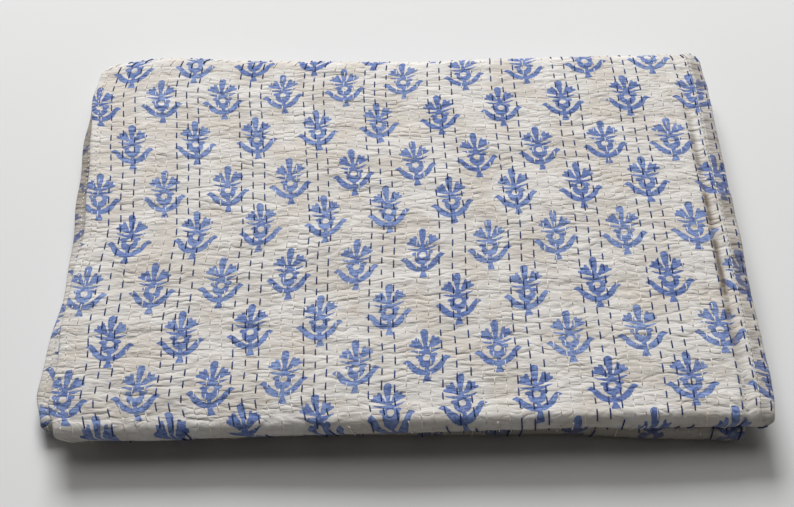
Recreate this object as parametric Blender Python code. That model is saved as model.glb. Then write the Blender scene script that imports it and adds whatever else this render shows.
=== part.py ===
"""Folded throw quilt: one stitched cotton sheet, folded once across its width and in four along its length.

Metres, +Z up. X runs along the folded pack's long side, -Y is the side of the rounded front folds, and the
origin is the middle of the bottom of the pack's box.

The sheet is followed as a narrow hairpin (two plies joined by the bend at the right) that is carried along a
back-and-forth path in the Y-Z plane, from the free end behind the top pass down to the free end of the bottom
pass. The upper two passes and the lower two passes make two small packs, and the lower one lies a little turned
and a little to the left under the upper one.
"""
import math
from typing import NamedTuple

import bmesh
import bpy
import numpy as np

# The sheet as it was cut and quilted
THROW_WIDTH = 1.27
THROW_LENGTH = 1.78
SHEET = 0.0032

# The hairpin: half the distance between its two plies' middles, plain and where the bend puffs it out
PLY_HALF = 0.0027
PLY_HALF_AT_BEND = 0.0031
BEND_PUFF_LENGTH = 0.030

# Heights of the middle of each doubled pass above the surface, from the bottom pass to the top one
STRIP_HALF = PLY_HALF + SHEET / 2
PASS_4_HEIGHT = STRIP_HALF
PASS_3_HEIGHT = PASS_4_HEIGHT + 0.0116
PASS_2_HEIGHT = PASS_3_HEIGHT + 0.0120
PASS_1_HEIGHT = PASS_2_HEIGHT + 0.0125

# The top pass rolls over the back folds and ends there
ROLL_RADIUS = 0.0170
TAIL_HEIGHT = 0.0170
BACK_FOLD_INSET = 0.0056
BOTTOM_END_OUTSET = 0.0020

# The lower pack against the upper one, seen from above
LOWER_TURN = math.radians(2.0)
LOWER_SHIFT = (-0.0060, 0.0105)
TURN_SHARE_AT_BACK_FOLD = 0.30

# The raised band beside the folded right edge, measured from that edge
BAND_TROUGH_FROM_EDGE = 0.0215
BAND_TROUGH_DEPTH = 0.0020
BAND_TROUGH_WIDTH = 0.0040
BAND_RIDGE_FROM_EDGE = 0.0150
BAND_RIDGE_HEIGHT = 0.0016
BAND_RIDGE_WIDTH = 0.0055
TOP_RELIEF_FROM_HEIGHT = 0.0300

# How finely each stretch is stepped: a ply's outer side has its own places across the band, measured from the bend
BAND_PLACES = (0.0, 0.0050, 0.0090, 0.0130, 0.0168, 0.0210, 0.0280)
OUTER_STEPS = 11
INNER_STEPS = 7
OUTER_BEND_STEPS = 6
INNER_BEND_STEPS = 4
TOP_PASS_STEPS = 16
HIDDEN_PASS_STEPS = 9
FOLD_STEPS = 6
ROLL_STEPS = 5

CLOTH_COLOUR = (0.69, 0.64, 0.57, 1.0)
CLOTH_ROUGHNESS = 0.92


class EdgeRow(NamedTuple):
    """How far the two long edges of the hairpin lie inside the plain pack at one place along the path."""

    place: str
    share: float
    left: float
    right: float


class Swell(NamedTuple):
    """A soft rise (or slump, below zero) of the whole pack's height, as a share of it."""

    x: float
    y: float
    reach_x: float
    reach_y: float
    share: float


class Crease(NamedTuple):
    """A soft trough or ridge in the top pass, as a line from one point to another in plan."""

    start: tuple
    end: tuple
    half_width: float
    height: float


# Edges, by stretch of the path and share of that stretch, in metres inside the plain pack
EDGES = (
    EdgeRow("tail", 0.0, 0.028, 0.010),
    EdgeRow("roll", 0.4, 0.020, 0.006),
    EdgeRow("pass_1", 0.0, 0.009, 0.002),
    EdgeRow("pass_1", 0.10, 0.004, 0.000),
    EdgeRow("pass_1", 0.22, 0.010, 0.001),
    EdgeRow("pass_1", 0.50, 0.011, -0.001),
    EdgeRow("pass_1", 0.80, 0.003, -0.002),
    EdgeRow("pass_1", 0.95, -0.002, -0.003),
    EdgeRow("front_fold_12", 0.35, 0.005, -0.001),
    EdgeRow("front_fold_12", 0.75, 0.022, 0.006),
    EdgeRow("pass_2", 0.04, 0.026, 0.010),
    EdgeRow("pass_2", 0.20, 0.015, 0.006),
    EdgeRow("pass_2", 0.80, 0.016, 0.004),
    EdgeRow("pass_2", 1.00, 0.014, 0.006),
    EdgeRow("back_fold_23", 0.5, 0.009, 0.010),
    EdgeRow("pass_3", 0.05, 0.001, 0.006),
    EdgeRow("pass_3", 0.20, -0.003, 0.004),
    EdgeRow("pass_3", 0.55, 0.003, 0.004),
    EdgeRow("pass_3", 0.94, -0.004, 0.006),
    EdgeRow("front_fold_34", 0.3, 0.002, 0.008),
    EdgeRow("front_fold_34", 0.8, 0.012, 0.016),
    EdgeRow("pass_4", 0.10, 0.005, 0.008),
    EdgeRow("pass_4", 0.60, 0.004, 0.006),
    EdgeRow("pass_4", 1.00, 0.003, 0.006),
)

# Rises and slumps of the pack, by plan position as shares of the half width and half depth
SWELLS = (
    Swell(0.10, -0.10, 0.95, 0.80, 0.030),
    Swell(-1.00, 1.00, 0.20, 0.30, -0.220),
    Swell(1.00, 1.02, 0.12, 0.22, -0.120),
    Swell(-1.02, -1.02, 0.30, 0.26, -0.090),
    Swell(-0.62, -1.02, 0.36, 0.13, -0.130),
    Swell(1.04, -1.04, 0.12, 0.16, -0.080),
    Swell(0.30, -0.96, 0.55, 0.10, 0.045),
    Swell(-0.35, -0.40, 0.22, 0.30, -0.020),
    Swell(0.55, 0.30, 0.20, 0.35, 0.015),
    Swell(-0.72, 0.10, 0.14, 0.50, -0.030),
    Swell(0.10, 1.00, 0.55, 0.20, -0.080),
)

# Main creases of the top pass, in the same shares
CREASES = (
    Crease((-0.96, -0.30), (-0.93, 0.60), 0.030, -0.0012),
    Crease((-0.55, -0.90), (-0.50, 0.20), 0.020, -0.0008),
    Crease((-0.12, -0.20), (-0.10, 0.85), 0.018, -0.0008),
    Crease((0.25, -0.85), (0.27, 0.30), 0.020, -0.0009),
    Crease((0.58, -0.20), (0.56, 0.80), 0.018, -0.0007),
    Crease((-0.80, -0.78), (0.70, -0.72), 0.022, 0.0008),
    Crease((-0.60, 0.35), (0.40, 0.48), 0.022, 0.0007),
)


class Reach(NamedTuple):
    """How far the back edge and the lower front fold lie back from their plain places, at a share of the half width."""

    x: float
    back: float
    lower_front: float


REACHES = (
    Reach(-1.00, 0.0000, 0.0000),
    Reach(-0.80, 0.0040, 0.0000),
    Reach(-0.46, -0.0030, 0.0000),
    Reach(0.07, -0.0042, 0.0008),
    Reach(0.28, -0.0020, 0.0022),
    Reach(0.46, -0.0015, 0.0035),
    Reach(0.75, -0.0008, 0.0006),
    Reach(0.96, 0.0030, -0.0006),
    Reach(1.06, 0.0000, 0.0000),
)
REACH_FROM_DEPTH = 0.30


class Stretch(NamedTuple):
    """One stretch of the path: straight where the turn is nought, else an arc."""

    name: str
    length: float
    turn: float
    steps: int


def path_stretches() -> list:
    """The back-and-forth path, from the free end behind the top pass to the free end of the bottom pass.

    Returns:
        The stretches in order, whose lengths add up to the length of the throw.
    """
    fold_12 = math.pi * (PASS_1_HEIGHT - PASS_2_HEIGHT) / 2
    fold_23 = math.pi * (PASS_2_HEIGHT - PASS_3_HEIGHT) / 2
    fold_34 = math.pi * (PASS_3_HEIGHT - PASS_4_HEIGHT) / 2
    tail = PASS_1_HEIGHT - ROLL_RADIUS - TAIL_HEIGHT
    roll = ROLL_RADIUS * math.pi / 2
    spent = fold_12 + fold_23 + fold_34 + tail + roll - 2 * BACK_FOLD_INSET + BOTTOM_END_OUTSET
    run = (THROW_LENGTH - spent) / 4
    return [
        Stretch("tail", tail, 0.0, 2),
        Stretch("roll", roll, math.pi / 2, ROLL_STEPS),
        Stretch("pass_1", run, 0.0, TOP_PASS_STEPS),
        Stretch("front_fold_12", fold_12, math.pi, FOLD_STEPS),
        Stretch("pass_2", run - BACK_FOLD_INSET, 0.0, HIDDEN_PASS_STEPS),
        Stretch("back_fold_23", fold_23, -math.pi, FOLD_STEPS),
        Stretch("pass_3", run - BACK_FOLD_INSET, 0.0, HIDDEN_PASS_STEPS),
        Stretch("front_fold_34", fold_34, math.pi, FOLD_STEPS),
        Stretch("pass_4", run + BOTTOM_END_OUTSET, 0.0, HIDDEN_PASS_STEPS),
    ]


class Station(NamedTuple):
    """One place along the path: distance from the free end, point in Y-Z, and heading from +Y towards +Z."""

    distance: float
    y: float
    z: float
    heading: float


def path_stations() -> list:
    """Steps along the path.

    Returns:
        Stations from one free end of the throw to the other.
    """
    stretches = path_stretches()
    run = next(s.length for s in stretches if s.name == "pass_1")
    y = run / 2 + ROLL_RADIUS
    z = TAIL_HEIGHT
    heading = math.pi / 2
    distance = 0.0
    stations = [Station(distance, y, z, heading)]
    for stretch in stretches:
        step = stretch.length / stretch.steps
        bend = stretch.turn / stretch.steps
        chord = step if bend == 0.0 else 2 * (step / bend) * math.sin(bend / 2)
        for _ in range(stretch.steps):
            y += chord * math.cos(heading + bend / 2)
            z += chord * math.sin(heading + bend / 2)
            heading += bend
            distance += step
            stations.append(Station(distance, y, z, heading))
    return stations


def place_distances(rows: tuple) -> list:
    """Distance along the path of each row of a table that names its stretch and share."""
    starts = {}
    along = 0.0
    for stretch in path_stretches():
        starts[stretch.name] = (along, stretch.length)
        along += stretch.length
    return [starts[row.place][0] + row.share * starts[row.place][1] for row in rows]


def smooth_table(distance: float, places: list, values: list) -> float:
    """A value read from a table with soft steps between its rows."""
    if distance <= places[0]:
        return values[0]
    for here, there, low, high in zip(places, places[1:], values, values[1:]):
        if distance <= there:
            t = (distance - here) / (there - here)
            return low + (high - low) * t * t * (3 - 2 * t)
    return values[-1]


def edge_wave(distance: float, phase: float) -> float:
    """The small unevenness of a hem along its length."""
    return 0.0012 * math.sin(distance / 0.031 + phase) + 0.0008 * math.sin(distance / 0.0127 + 2.3 * phase)


def section(left_a: float, left_b: float, right: float) -> list:
    """The hairpin's outline in one station's own plane.

    Args:
        left_a: X of the hem of the ply on the side that the path's normal points to.
        left_b: X of the hem of the other ply.
        right: X of the outermost point of the bend.

    Returns:
        Points (x, offset along the normal), once round the closed outline.
    """
    half = SHEET / 2
    bend_at = right - PLY_HALF_AT_BEND - half

    def ply_half(x: float) -> float:
        t = min(max((x - bend_at + BEND_PUFF_LENGTH) / BEND_PUFF_LENGTH, 0.0), 1.0)
        return PLY_HALF + (PLY_HALF_AT_BEND - PLY_HALF) * t * t * (3 - 2 * t)

    def spread(left: float, right_end: float, steps: int) -> list:
        return [left + (right_end - left) * k / steps for k in range(steps + 1)]

    def outer_places(left: float) -> list:
        band = [bend_at - place for place in reversed(BAND_PLACES)]
        return spread(left, band[0], OUTER_STEPS) + band[1:]

    def arc(radius: float, steps: int) -> list:
        angles = (math.pi / 2 - math.pi * k / steps for k in range(1, steps))
        return [(bend_at + radius * math.cos(t), radius * math.sin(t)) for t in angles]

    outer = PLY_HALF_AT_BEND + half
    inner = PLY_HALF_AT_BEND - half
    points = [(x, ply_half(x) + half) for x in outer_places(left_a)]
    points += arc(outer, OUTER_BEND_STEPS)
    points += [(x, -ply_half(x) - half) for x in reversed(outer_places(left_b))]
    points += [(x, -ply_half(x) + half) for x in spread(left_b, bend_at, INNER_STEPS)]
    points += reversed(arc(inner, INNER_BEND_STEPS))
    points += [(x, ply_half(x) - half) for x in reversed(spread(left_a, bend_at, INNER_STEPS))]
    return points


def lower_share(distance: float) -> float:
    """How far a place along the path has come over to the lower pack's turned position, from 0 to 1."""
    marks = {}
    along = 0.0
    for stretch in path_stretches():
        marks[stretch.name] = along
        along += stretch.length
    places = [marks["pass_2"], marks["back_fold_23"], marks["pass_3"], marks["front_fold_34"]]
    return smooth_table(distance, places, [0.0, TURN_SHARE_AT_BACK_FOLD, TURN_SHARE_AT_BACK_FOLD, 1.0])


def turned(x: float, y: float, share: float) -> tuple:
    """A plan point moved with the lower pack's turn and shift, by the given share."""
    angle = -LOWER_TURN * share
    cos, sin = math.cos(angle), math.sin(angle)
    return x * cos - y * sin + LOWER_SHIFT[0] * share, x * sin + y * cos + LOWER_SHIFT[1] * share


def edge_reach(x: float, y: float, share: float, half_width: float, half_depth: float) -> float:
    """How far back a plan point is moved by the unevenness of the back edge and of the lower front fold."""
    places = [row.x for row in REACHES]
    back = smooth_table(x / half_width, places, [row.back for row in REACHES])
    front = smooth_table(x / half_width, places, [row.lower_front for row in REACHES])
    out = min(max((abs(y) / half_depth - REACH_FROM_DEPTH) / (1 - REACH_FROM_DEPTH), 0.0), 1.0)
    weight = out * out * (3 - 2 * out)
    return back * weight if y > 0.0 else front * weight * share


def height_share(x: float, y: float, half_width: float, half_depth: float) -> float:
    """The height of the pack at a plan point, as a share of its plain height."""
    total = 1.0
    for swell in SWELLS:
        across = (x / half_width - swell.x) / swell.reach_x
        along = (y / half_depth - swell.y) / swell.reach_y
        total += swell.share * math.exp(-across * across - along * along)
    return total


def top_relief(x: float, y: float, half_width: float, half_depth: float) -> float:
    """Height of the top pass's creases and of the band beside its folded edge at a plan point."""
    from_edge = half_width - x
    trough = (from_edge - BAND_TROUGH_FROM_EDGE) / BAND_TROUGH_WIDTH
    ridge = (from_edge - BAND_RIDGE_FROM_EDGE) / BAND_RIDGE_WIDTH
    total = BAND_RIDGE_HEIGHT * math.exp(-ridge * ridge) - BAND_TROUGH_DEPTH * math.exp(-trough * trough)
    for crease in CREASES:
        start = (crease.start[0] * half_width, crease.start[1] * half_depth)
        end = (crease.end[0] * half_width, crease.end[1] * half_depth)
        run = (end[0] - start[0], end[1] - start[1])
        reach = math.hypot(*run)
        along = ((x - start[0]) * run[0] + (y - start[1]) * run[1]) / reach
        aside = ((x - start[0]) * run[1] - (y - start[1]) * run[0]) / reach
        beyond = max(-along, along - reach, 0.0)
        fall = (aside * aside + beyond * beyond) / crease.half_width**2
        total += crease.height * math.exp(-fall)
    return total


def pack_point(x: float, offset: float, station: Station, half_width: float, half_depth: float) -> tuple:
    """Places one point of the hairpin's outline in the folded pack.

    Args:
        x: Distance along the pack's long side, from its middle.
        offset: Distance from the path's middle line, along its normal.
        station: The place along the path.
        half_width: Half the plain pack's long side.
        half_depth: Half the plain pack's short side.

    Returns:
        The point in metres, before the pack is set on its origin. The underside is pressed flat at nought.
    """
    y = station.y + offset * math.sin(station.heading)
    z = station.z - offset * math.cos(station.heading)
    share = lower_share(station.distance)
    plan_x, plan_y = turned(x, y, share)
    plan_y += edge_reach(x, y, share, half_width, half_depth)
    top = PASS_1_HEIGHT + STRIP_HALF
    rise = min(max((z - TOP_RELIEF_FROM_HEIGHT) / (top - TOP_RELIEF_FROM_HEIGHT), 0.0), 1.0)
    relief = top_relief(x, y, half_width, half_depth) * rise * rise * (3 - 2 * rise)
    return plan_x, plan_y, max((z + relief) * height_share(x, y, half_width, half_depth), 0.0)


def quilt_mesh() -> bmesh.types.BMesh:
    """The folded throw as one closed solid.

    Returns:
        The mesh, set on its origin.
    """
    stations = path_stations()
    half_width = (THROW_WIDTH / 2) / 2
    run = next(s.length for s in path_stretches() if s.name == "pass_1")
    half_depth = run / 2 + ROLL_RADIUS
    places = place_distances(EDGES)
    left_values = [row.left for row in EDGES]
    right_values = [row.right for row in EDGES]
    rings = []
    for station in stations:
        left = -half_width + smooth_table(station.distance, places, left_values)
        right = half_width - smooth_table(station.distance, places, right_values)
        left_a = left + edge_wave(station.distance, 0.4)
        left_b = left + edge_wave(station.distance, 2.9) + 0.0020
        outline = section(left_a, left_b, right)
        rings.append([pack_point(x, n, station, half_width, half_depth) for x, n in outline])
    points = np.array(rings)
    low = points.min(axis=(0, 1))
    high = points.max(axis=(0, 1))
    points -= np.array([(low[0] + high[0]) / 2, (low[1] + high[1]) / 2, low[2]])

    mesh = bmesh.new()
    loops = [[mesh.verts.new(point) for point in ring] for ring in points.tolist()]
    count = len(loops[0])
    for near, far in zip(loops, loops[1:]):
        for k in range(count):
            after = (k + 1) % count
            mesh.faces.new((near[k], near[after], far[after], far[k]))
    mesh.faces.new(loops[0])
    mesh.faces.new(loops[-1][::-1])
    bmesh.ops.recalc_face_normals(mesh, faces=mesh.faces)
    bmesh.ops.triangulate(mesh, faces=mesh.faces)
    return mesh


def cloth_material() -> bpy.types.Material:
    """Plain unbleached cotton."""
    material = bpy.data.materials.new("quilt_cotton")
    material.use_nodes = True
    shader = material.node_tree.nodes["Principled BSDF"]
    shader.inputs["Base Color"].default_value = CLOTH_COLOUR
    shader.inputs["Roughness"].default_value = CLOTH_ROUGHNESS
    shader.inputs["Metallic"].default_value = 0.0
    return material


def build_quilt() -> bpy.types.Object:
    """The quilt as one object, with its material."""
    data = bpy.data.meshes.new("quilt")
    mesh = quilt_mesh()
    mesh.to_mesh(data)
    mesh.free()
    data.materials.append(cloth_material())
    data.shade_smooth()
    data.set_sharp_from_angle(angle=math.radians(60))
    quilt = bpy.data.objects.new("quilt", data)
    bpy.context.scene.collection.objects.link(quilt)
    return quilt


for leftover in list(bpy.data.objects):
    bpy.data.objects.remove(leftover, do_unlink=True)
build_quilt()
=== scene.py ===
"""The looks of a folded, hand-stitched cotton throw quilt with a small block-printed flower.

One sheet of quilted cloth lies in its folds: folded once across its width (the bend is on the right, the hems
on the left) and carried back and forth in four passes. Everything is worked out in the sheet's own
coordinates: across, from one long hem to the other, and along, from the free end behind the top pass to the
free end under the pack. The print and the threads follow the same coordinates.
"""

import logging
import math
from dataclasses import dataclass
from enum import Enum
from typing import Any, NamedTuple

import bpy
import numpy as np
from mathutils import Matrix, Vector

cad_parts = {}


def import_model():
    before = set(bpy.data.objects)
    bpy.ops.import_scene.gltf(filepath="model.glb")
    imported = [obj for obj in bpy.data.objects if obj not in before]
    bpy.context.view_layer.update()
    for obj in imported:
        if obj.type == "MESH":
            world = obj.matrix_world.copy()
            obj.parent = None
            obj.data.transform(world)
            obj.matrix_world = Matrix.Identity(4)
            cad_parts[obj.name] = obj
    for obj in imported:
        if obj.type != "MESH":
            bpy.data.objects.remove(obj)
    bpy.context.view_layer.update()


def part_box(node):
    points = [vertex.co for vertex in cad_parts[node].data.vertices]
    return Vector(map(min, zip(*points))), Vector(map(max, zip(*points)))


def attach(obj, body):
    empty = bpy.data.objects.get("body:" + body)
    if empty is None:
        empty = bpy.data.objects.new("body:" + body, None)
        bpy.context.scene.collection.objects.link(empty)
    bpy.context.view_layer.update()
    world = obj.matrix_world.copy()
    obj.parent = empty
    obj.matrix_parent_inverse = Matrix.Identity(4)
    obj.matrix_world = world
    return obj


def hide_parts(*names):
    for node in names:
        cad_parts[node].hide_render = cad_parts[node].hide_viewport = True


log = logging.getLogger("quilt")

UV_NAME = "cloth"
PRINT_NAME = "print_place"
BETWEEN_NAME = "print_place_between"
ROW_NAME = "stitch_row"
BACK_FACE_SHIFT = 2.0
# Places among the rows of stitches, counted from the first hem.
GROOVE_ROW = 56.30
SEAM_ROW = 57.24


class Surface(Enum):
    """Which skin of the sheet a point lies on."""

    FACE = 1.0
    EDGE = 0.0
    BACK = -1.0


class Thread(Enum):
    """The threads that the quilt is sewn with."""

    NAVY = "navy_running_stitches"
    CREAM = "cream_running_stitches"
    HEM = "hem_stitches"


class Chance(Enum):
    """The uses of chance among the stitches, kept apart by their seeds."""

    DRIFT = 1.0
    SLIP = 2.0
    WANDER = 3.0
    SIZE = 5.0


class EdgeRow(NamedTuple):
    """How far the two long edges of the hairpin lie inside the plain pack at one place along the path."""

    place: str
    share: float
    left: float
    right: float


class Swell(NamedTuple):
    """A soft rise (or slump, below zero) of the whole pack's height, as a share of it."""

    x: float
    y: float
    reach_x: float
    reach_y: float
    share: float


class Crease(NamedTuple):
    """A soft trough or ridge in the top pass, as a line from one point to another in plan."""

    start: tuple[float, float]
    end: tuple[float, float]
    half_width: float
    height: float


class Reach(NamedTuple):
    """How far an edge lies back from its plain place, at a share of the half width."""

    x: float
    back: float
    lower_front: float


class StitchGroup(NamedTuple):
    """Three rows of navy stitches: where the first lies across the sheet, and how far apart they are."""

    start: float
    step: float


class PaintedShadeStretch(NamedTuple):
    """Where painted shade darkens the cloth along the sheet, in millimetres, how dark, how dark after it, and
    until where.
    """

    start: float
    full: float
    hold: float
    end: float
    share: float
    after: float
    until: float


class PrintedRow(NamedTuple):
    """How many millimetres one row of flowers lies off its even place, in mid width and more at a side."""

    row: float
    up: float
    up_slope: float
    aside: float
    aside_slope: float


class Stretch(NamedTuple):
    """One stretch of the path: straight where the turn is nought, else an arc."""

    name: str
    length: float
    turn: float
    start: float
    y: float
    z: float
    heading: float


EDGES: tuple[EdgeRow, ...] = (
    EdgeRow("tail", 0.0, 0.028, 0.010),
    EdgeRow("roll", 0.4, 0.020, 0.006),
    EdgeRow("pass_1", 0.0, 0.009, 0.002),
    EdgeRow("pass_1", 0.10, 0.004, 0.000),
    EdgeRow("pass_1", 0.22, 0.010, 0.001),
    EdgeRow("pass_1", 0.50, 0.011, -0.001),
    EdgeRow("pass_1", 0.80, 0.003, -0.002),
    EdgeRow("pass_1", 0.95, -0.002, -0.003),
    EdgeRow("front_fold_12", 0.35, 0.005, -0.001),
    EdgeRow("front_fold_12", 0.75, 0.022, 0.006),
    EdgeRow("pass_2", 0.04, 0.026, 0.010),
    EdgeRow("pass_2", 0.20, 0.015, 0.006),
    EdgeRow("pass_2", 0.80, 0.016, 0.004),
    EdgeRow("pass_2", 1.00, 0.014, 0.006),
    EdgeRow("back_fold_23", 0.5, 0.009, 0.010),
    EdgeRow("pass_3", 0.05, 0.001, 0.006),
    EdgeRow("pass_3", 0.20, -0.003, 0.004),
    EdgeRow("pass_3", 0.55, 0.003, 0.004),
    EdgeRow("pass_3", 0.94, -0.004, 0.006),
    EdgeRow("front_fold_34", 0.3, 0.002, 0.008),
    EdgeRow("front_fold_34", 0.8, 0.012, 0.016),
    EdgeRow("pass_4", 0.10, 0.005, 0.008),
    EdgeRow("pass_4", 0.60, 0.004, 0.006),
    EdgeRow("pass_4", 1.00, 0.003, 0.006),
)

SWELLS: tuple[Swell, ...] = (
    Swell(0.10, -0.10, 0.95, 0.80, 0.030),
    Swell(-1.00, 1.00, 0.20, 0.30, -0.220),
    Swell(1.00, 1.02, 0.12, 0.22, -0.120),
    Swell(-1.02, -1.02, 0.30, 0.26, -0.090),
    Swell(-0.62, -1.02, 0.36, 0.13, -0.130),
    Swell(1.04, -1.04, 0.12, 0.16, -0.080),
    Swell(0.30, -0.96, 0.55, 0.10, 0.045),
    Swell(-0.35, -0.40, 0.22, 0.30, -0.020),
    Swell(0.55, 0.30, 0.20, 0.35, 0.015),
    Swell(-0.72, 0.10, 0.14, 0.50, -0.030),
    Swell(0.10, 1.00, 0.55, 0.20, -0.080),
)

CREASES: tuple[Crease, ...] = (
    Crease((-0.96, -0.30), (-0.93, 0.60), 0.030, -0.0012),
    Crease((-0.55, -0.90), (-0.50, 0.20), 0.020, -0.0008),
    Crease((-0.12, -0.20), (-0.10, 0.85), 0.018, -0.0008),
    Crease((0.25, -0.85), (0.27, 0.30), 0.020, -0.0009),
    Crease((0.58, -0.20), (0.56, 0.80), 0.018, -0.0007),
    Crease((-0.80, -0.78), (0.70, -0.72), 0.022, 0.0008),
    Crease((-0.60, 0.35), (0.40, 0.48), 0.022, 0.0007),
)

REACHES: tuple[Reach, ...] = (
    Reach(-1.00, 0.0000, 0.0000),
    Reach(-0.80, 0.0040, 0.0000),
    Reach(-0.46, -0.0030, 0.0000),
    Reach(0.07, -0.0042, 0.0008),
    Reach(0.28, -0.0020, 0.0022),
    Reach(0.46, -0.0015, 0.0035),
    Reach(0.75, -0.0008, 0.0006),
    Reach(0.96, 0.0030, -0.0006),
    Reach(1.06, 0.0000, 0.0000),
)

NAVY_GROUPS: tuple[StitchGroup, ...] = (
    StitchGroup(0.0220, 0.0120),
    StitchGroup(0.0880, 0.0113),
    StitchGroup(0.1520, 0.0115),
    StitchGroup(0.2170, 0.0103),
    StitchGroup(0.2775, 0.0113),
    StitchGroup(0.3430, 0.0125),
    StitchGroup(0.4095, 0.0120),
    StitchGroup(0.4760, 0.0115),
    StitchGroup(0.5390, 0.0120),
    StitchGroup(0.6050, 0.0127),
)

# Painted shade: under the top front fold, on the third pass where it shows as the strip under the top pack's
# left edge, and under the lower front fold.
PAINTED_SHADE_STRETCHES: tuple[PaintedShadeStretch, ...] = (
    PaintedShadeStretch(463.0, 474.0, 480.0, 500.0, 0.55, 0.0, 500.0),
    PaintedShadeStretch(905.0, 920.0, 1060.0, 1180.0, 0.60, 0.12, 1320.0),
    PaintedShadeStretch(1336.0, 1345.0, 1355.0, 1375.0, 0.55, 0.0, 1375.0),
)

PRINTED_ROWS: tuple[PrintedRow, ...] = (
    PrintedRow(-6.0, 1.0, 0.0, -2.4, 0.0),
    PrintedRow(-5.0, 3.5, -3.0, -2.5, 2.5),
    PrintedRow(-4.0, -0.6, 0.0, 0.0, 0.0),
    PrintedRow(-3.0, 0.3, 0.0, 0.0, 0.0),
    PrintedRow(-2.0, 0.6, 0.0, 0.0, 0.0),
    PrintedRow(-1.0, 2.0, 0.0, 0.0, 0.0),
    PrintedRow(0.0, -3.4, 0.0, 0.0, 0.0),
    PrintedRow(1.0, 1.2, 0.0, 0.0, 0.0),
    PrintedRow(2.0, 2.2, 0.0, 0.0, 0.0),
    PrintedRow(3.0, -3.4, 0.0, 0.0, 0.0),
)


def smooth(low: float, high: float, value: np.ndarray) -> np.ndarray:
    """A soft step from 0 at low to 1 at high."""
    t = np.clip((value - low) / (high - low), 0.0, 1.0)
    return t * t * (3 - 2 * t)


def smooth_table(at: np.ndarray, places: list[float], values: list[float]) -> np.ndarray:
    """Values read from a table with soft steps between its rows.

    Args:
        at: Where to read.
        places: Where the rows lie, rising.
        values: What the rows say.

    Returns:
        One value for each place read.
    """
    k = np.clip(np.searchsorted(places, at, side="left"), 1, len(places) - 1)
    here, there = np.take(places, k - 1), np.take(places, k)
    low, high = np.take(values, k - 1), np.take(values, k)
    t = np.clip((at - here) / (there - here), 0.0, 1.0)
    return low + (high - low) * t * t * (3 - 2 * t)


@dataclass(frozen=True)
class SoftNoise:
    """Smooth random waves in two directions, the same ones each time."""

    seed: int
    across: float
    along: float
    cells: int = 256

    def __call__(self, c: np.ndarray, s: np.ndarray) -> np.ndarray:
        """Heights from -1 to 1.

        Args:
            c: Places across the sheet, in metres.
            s: Places along the sheet, in metres.

        Returns:
            One height for each place.
        """
        lattice = np.random.default_rng(self.seed).uniform(-1.0, 1.0, (self.cells, self.cells))
        u, v = c / self.across + self.cells / 2, s / self.along + self.cells / 4
        iu, iv = np.floor(u).astype(int), np.floor(v).astype(int)
        fu, fv = u - iu, v - iv
        fu, fv = fu * fu * (3 - 2 * fu), fv * fv * (3 - 2 * fv)
        iu, iv = iu % self.cells, iv % self.cells
        ju, jv = (iu + 1) % self.cells, (iv + 1) % self.cells
        near = lattice[iu, iv] * (1 - fu) + lattice[ju, iv] * fu
        far = lattice[iu, jv] * (1 - fu) + lattice[ju, jv] * fu
        return near * (1 - fv) + far * fv


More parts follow.
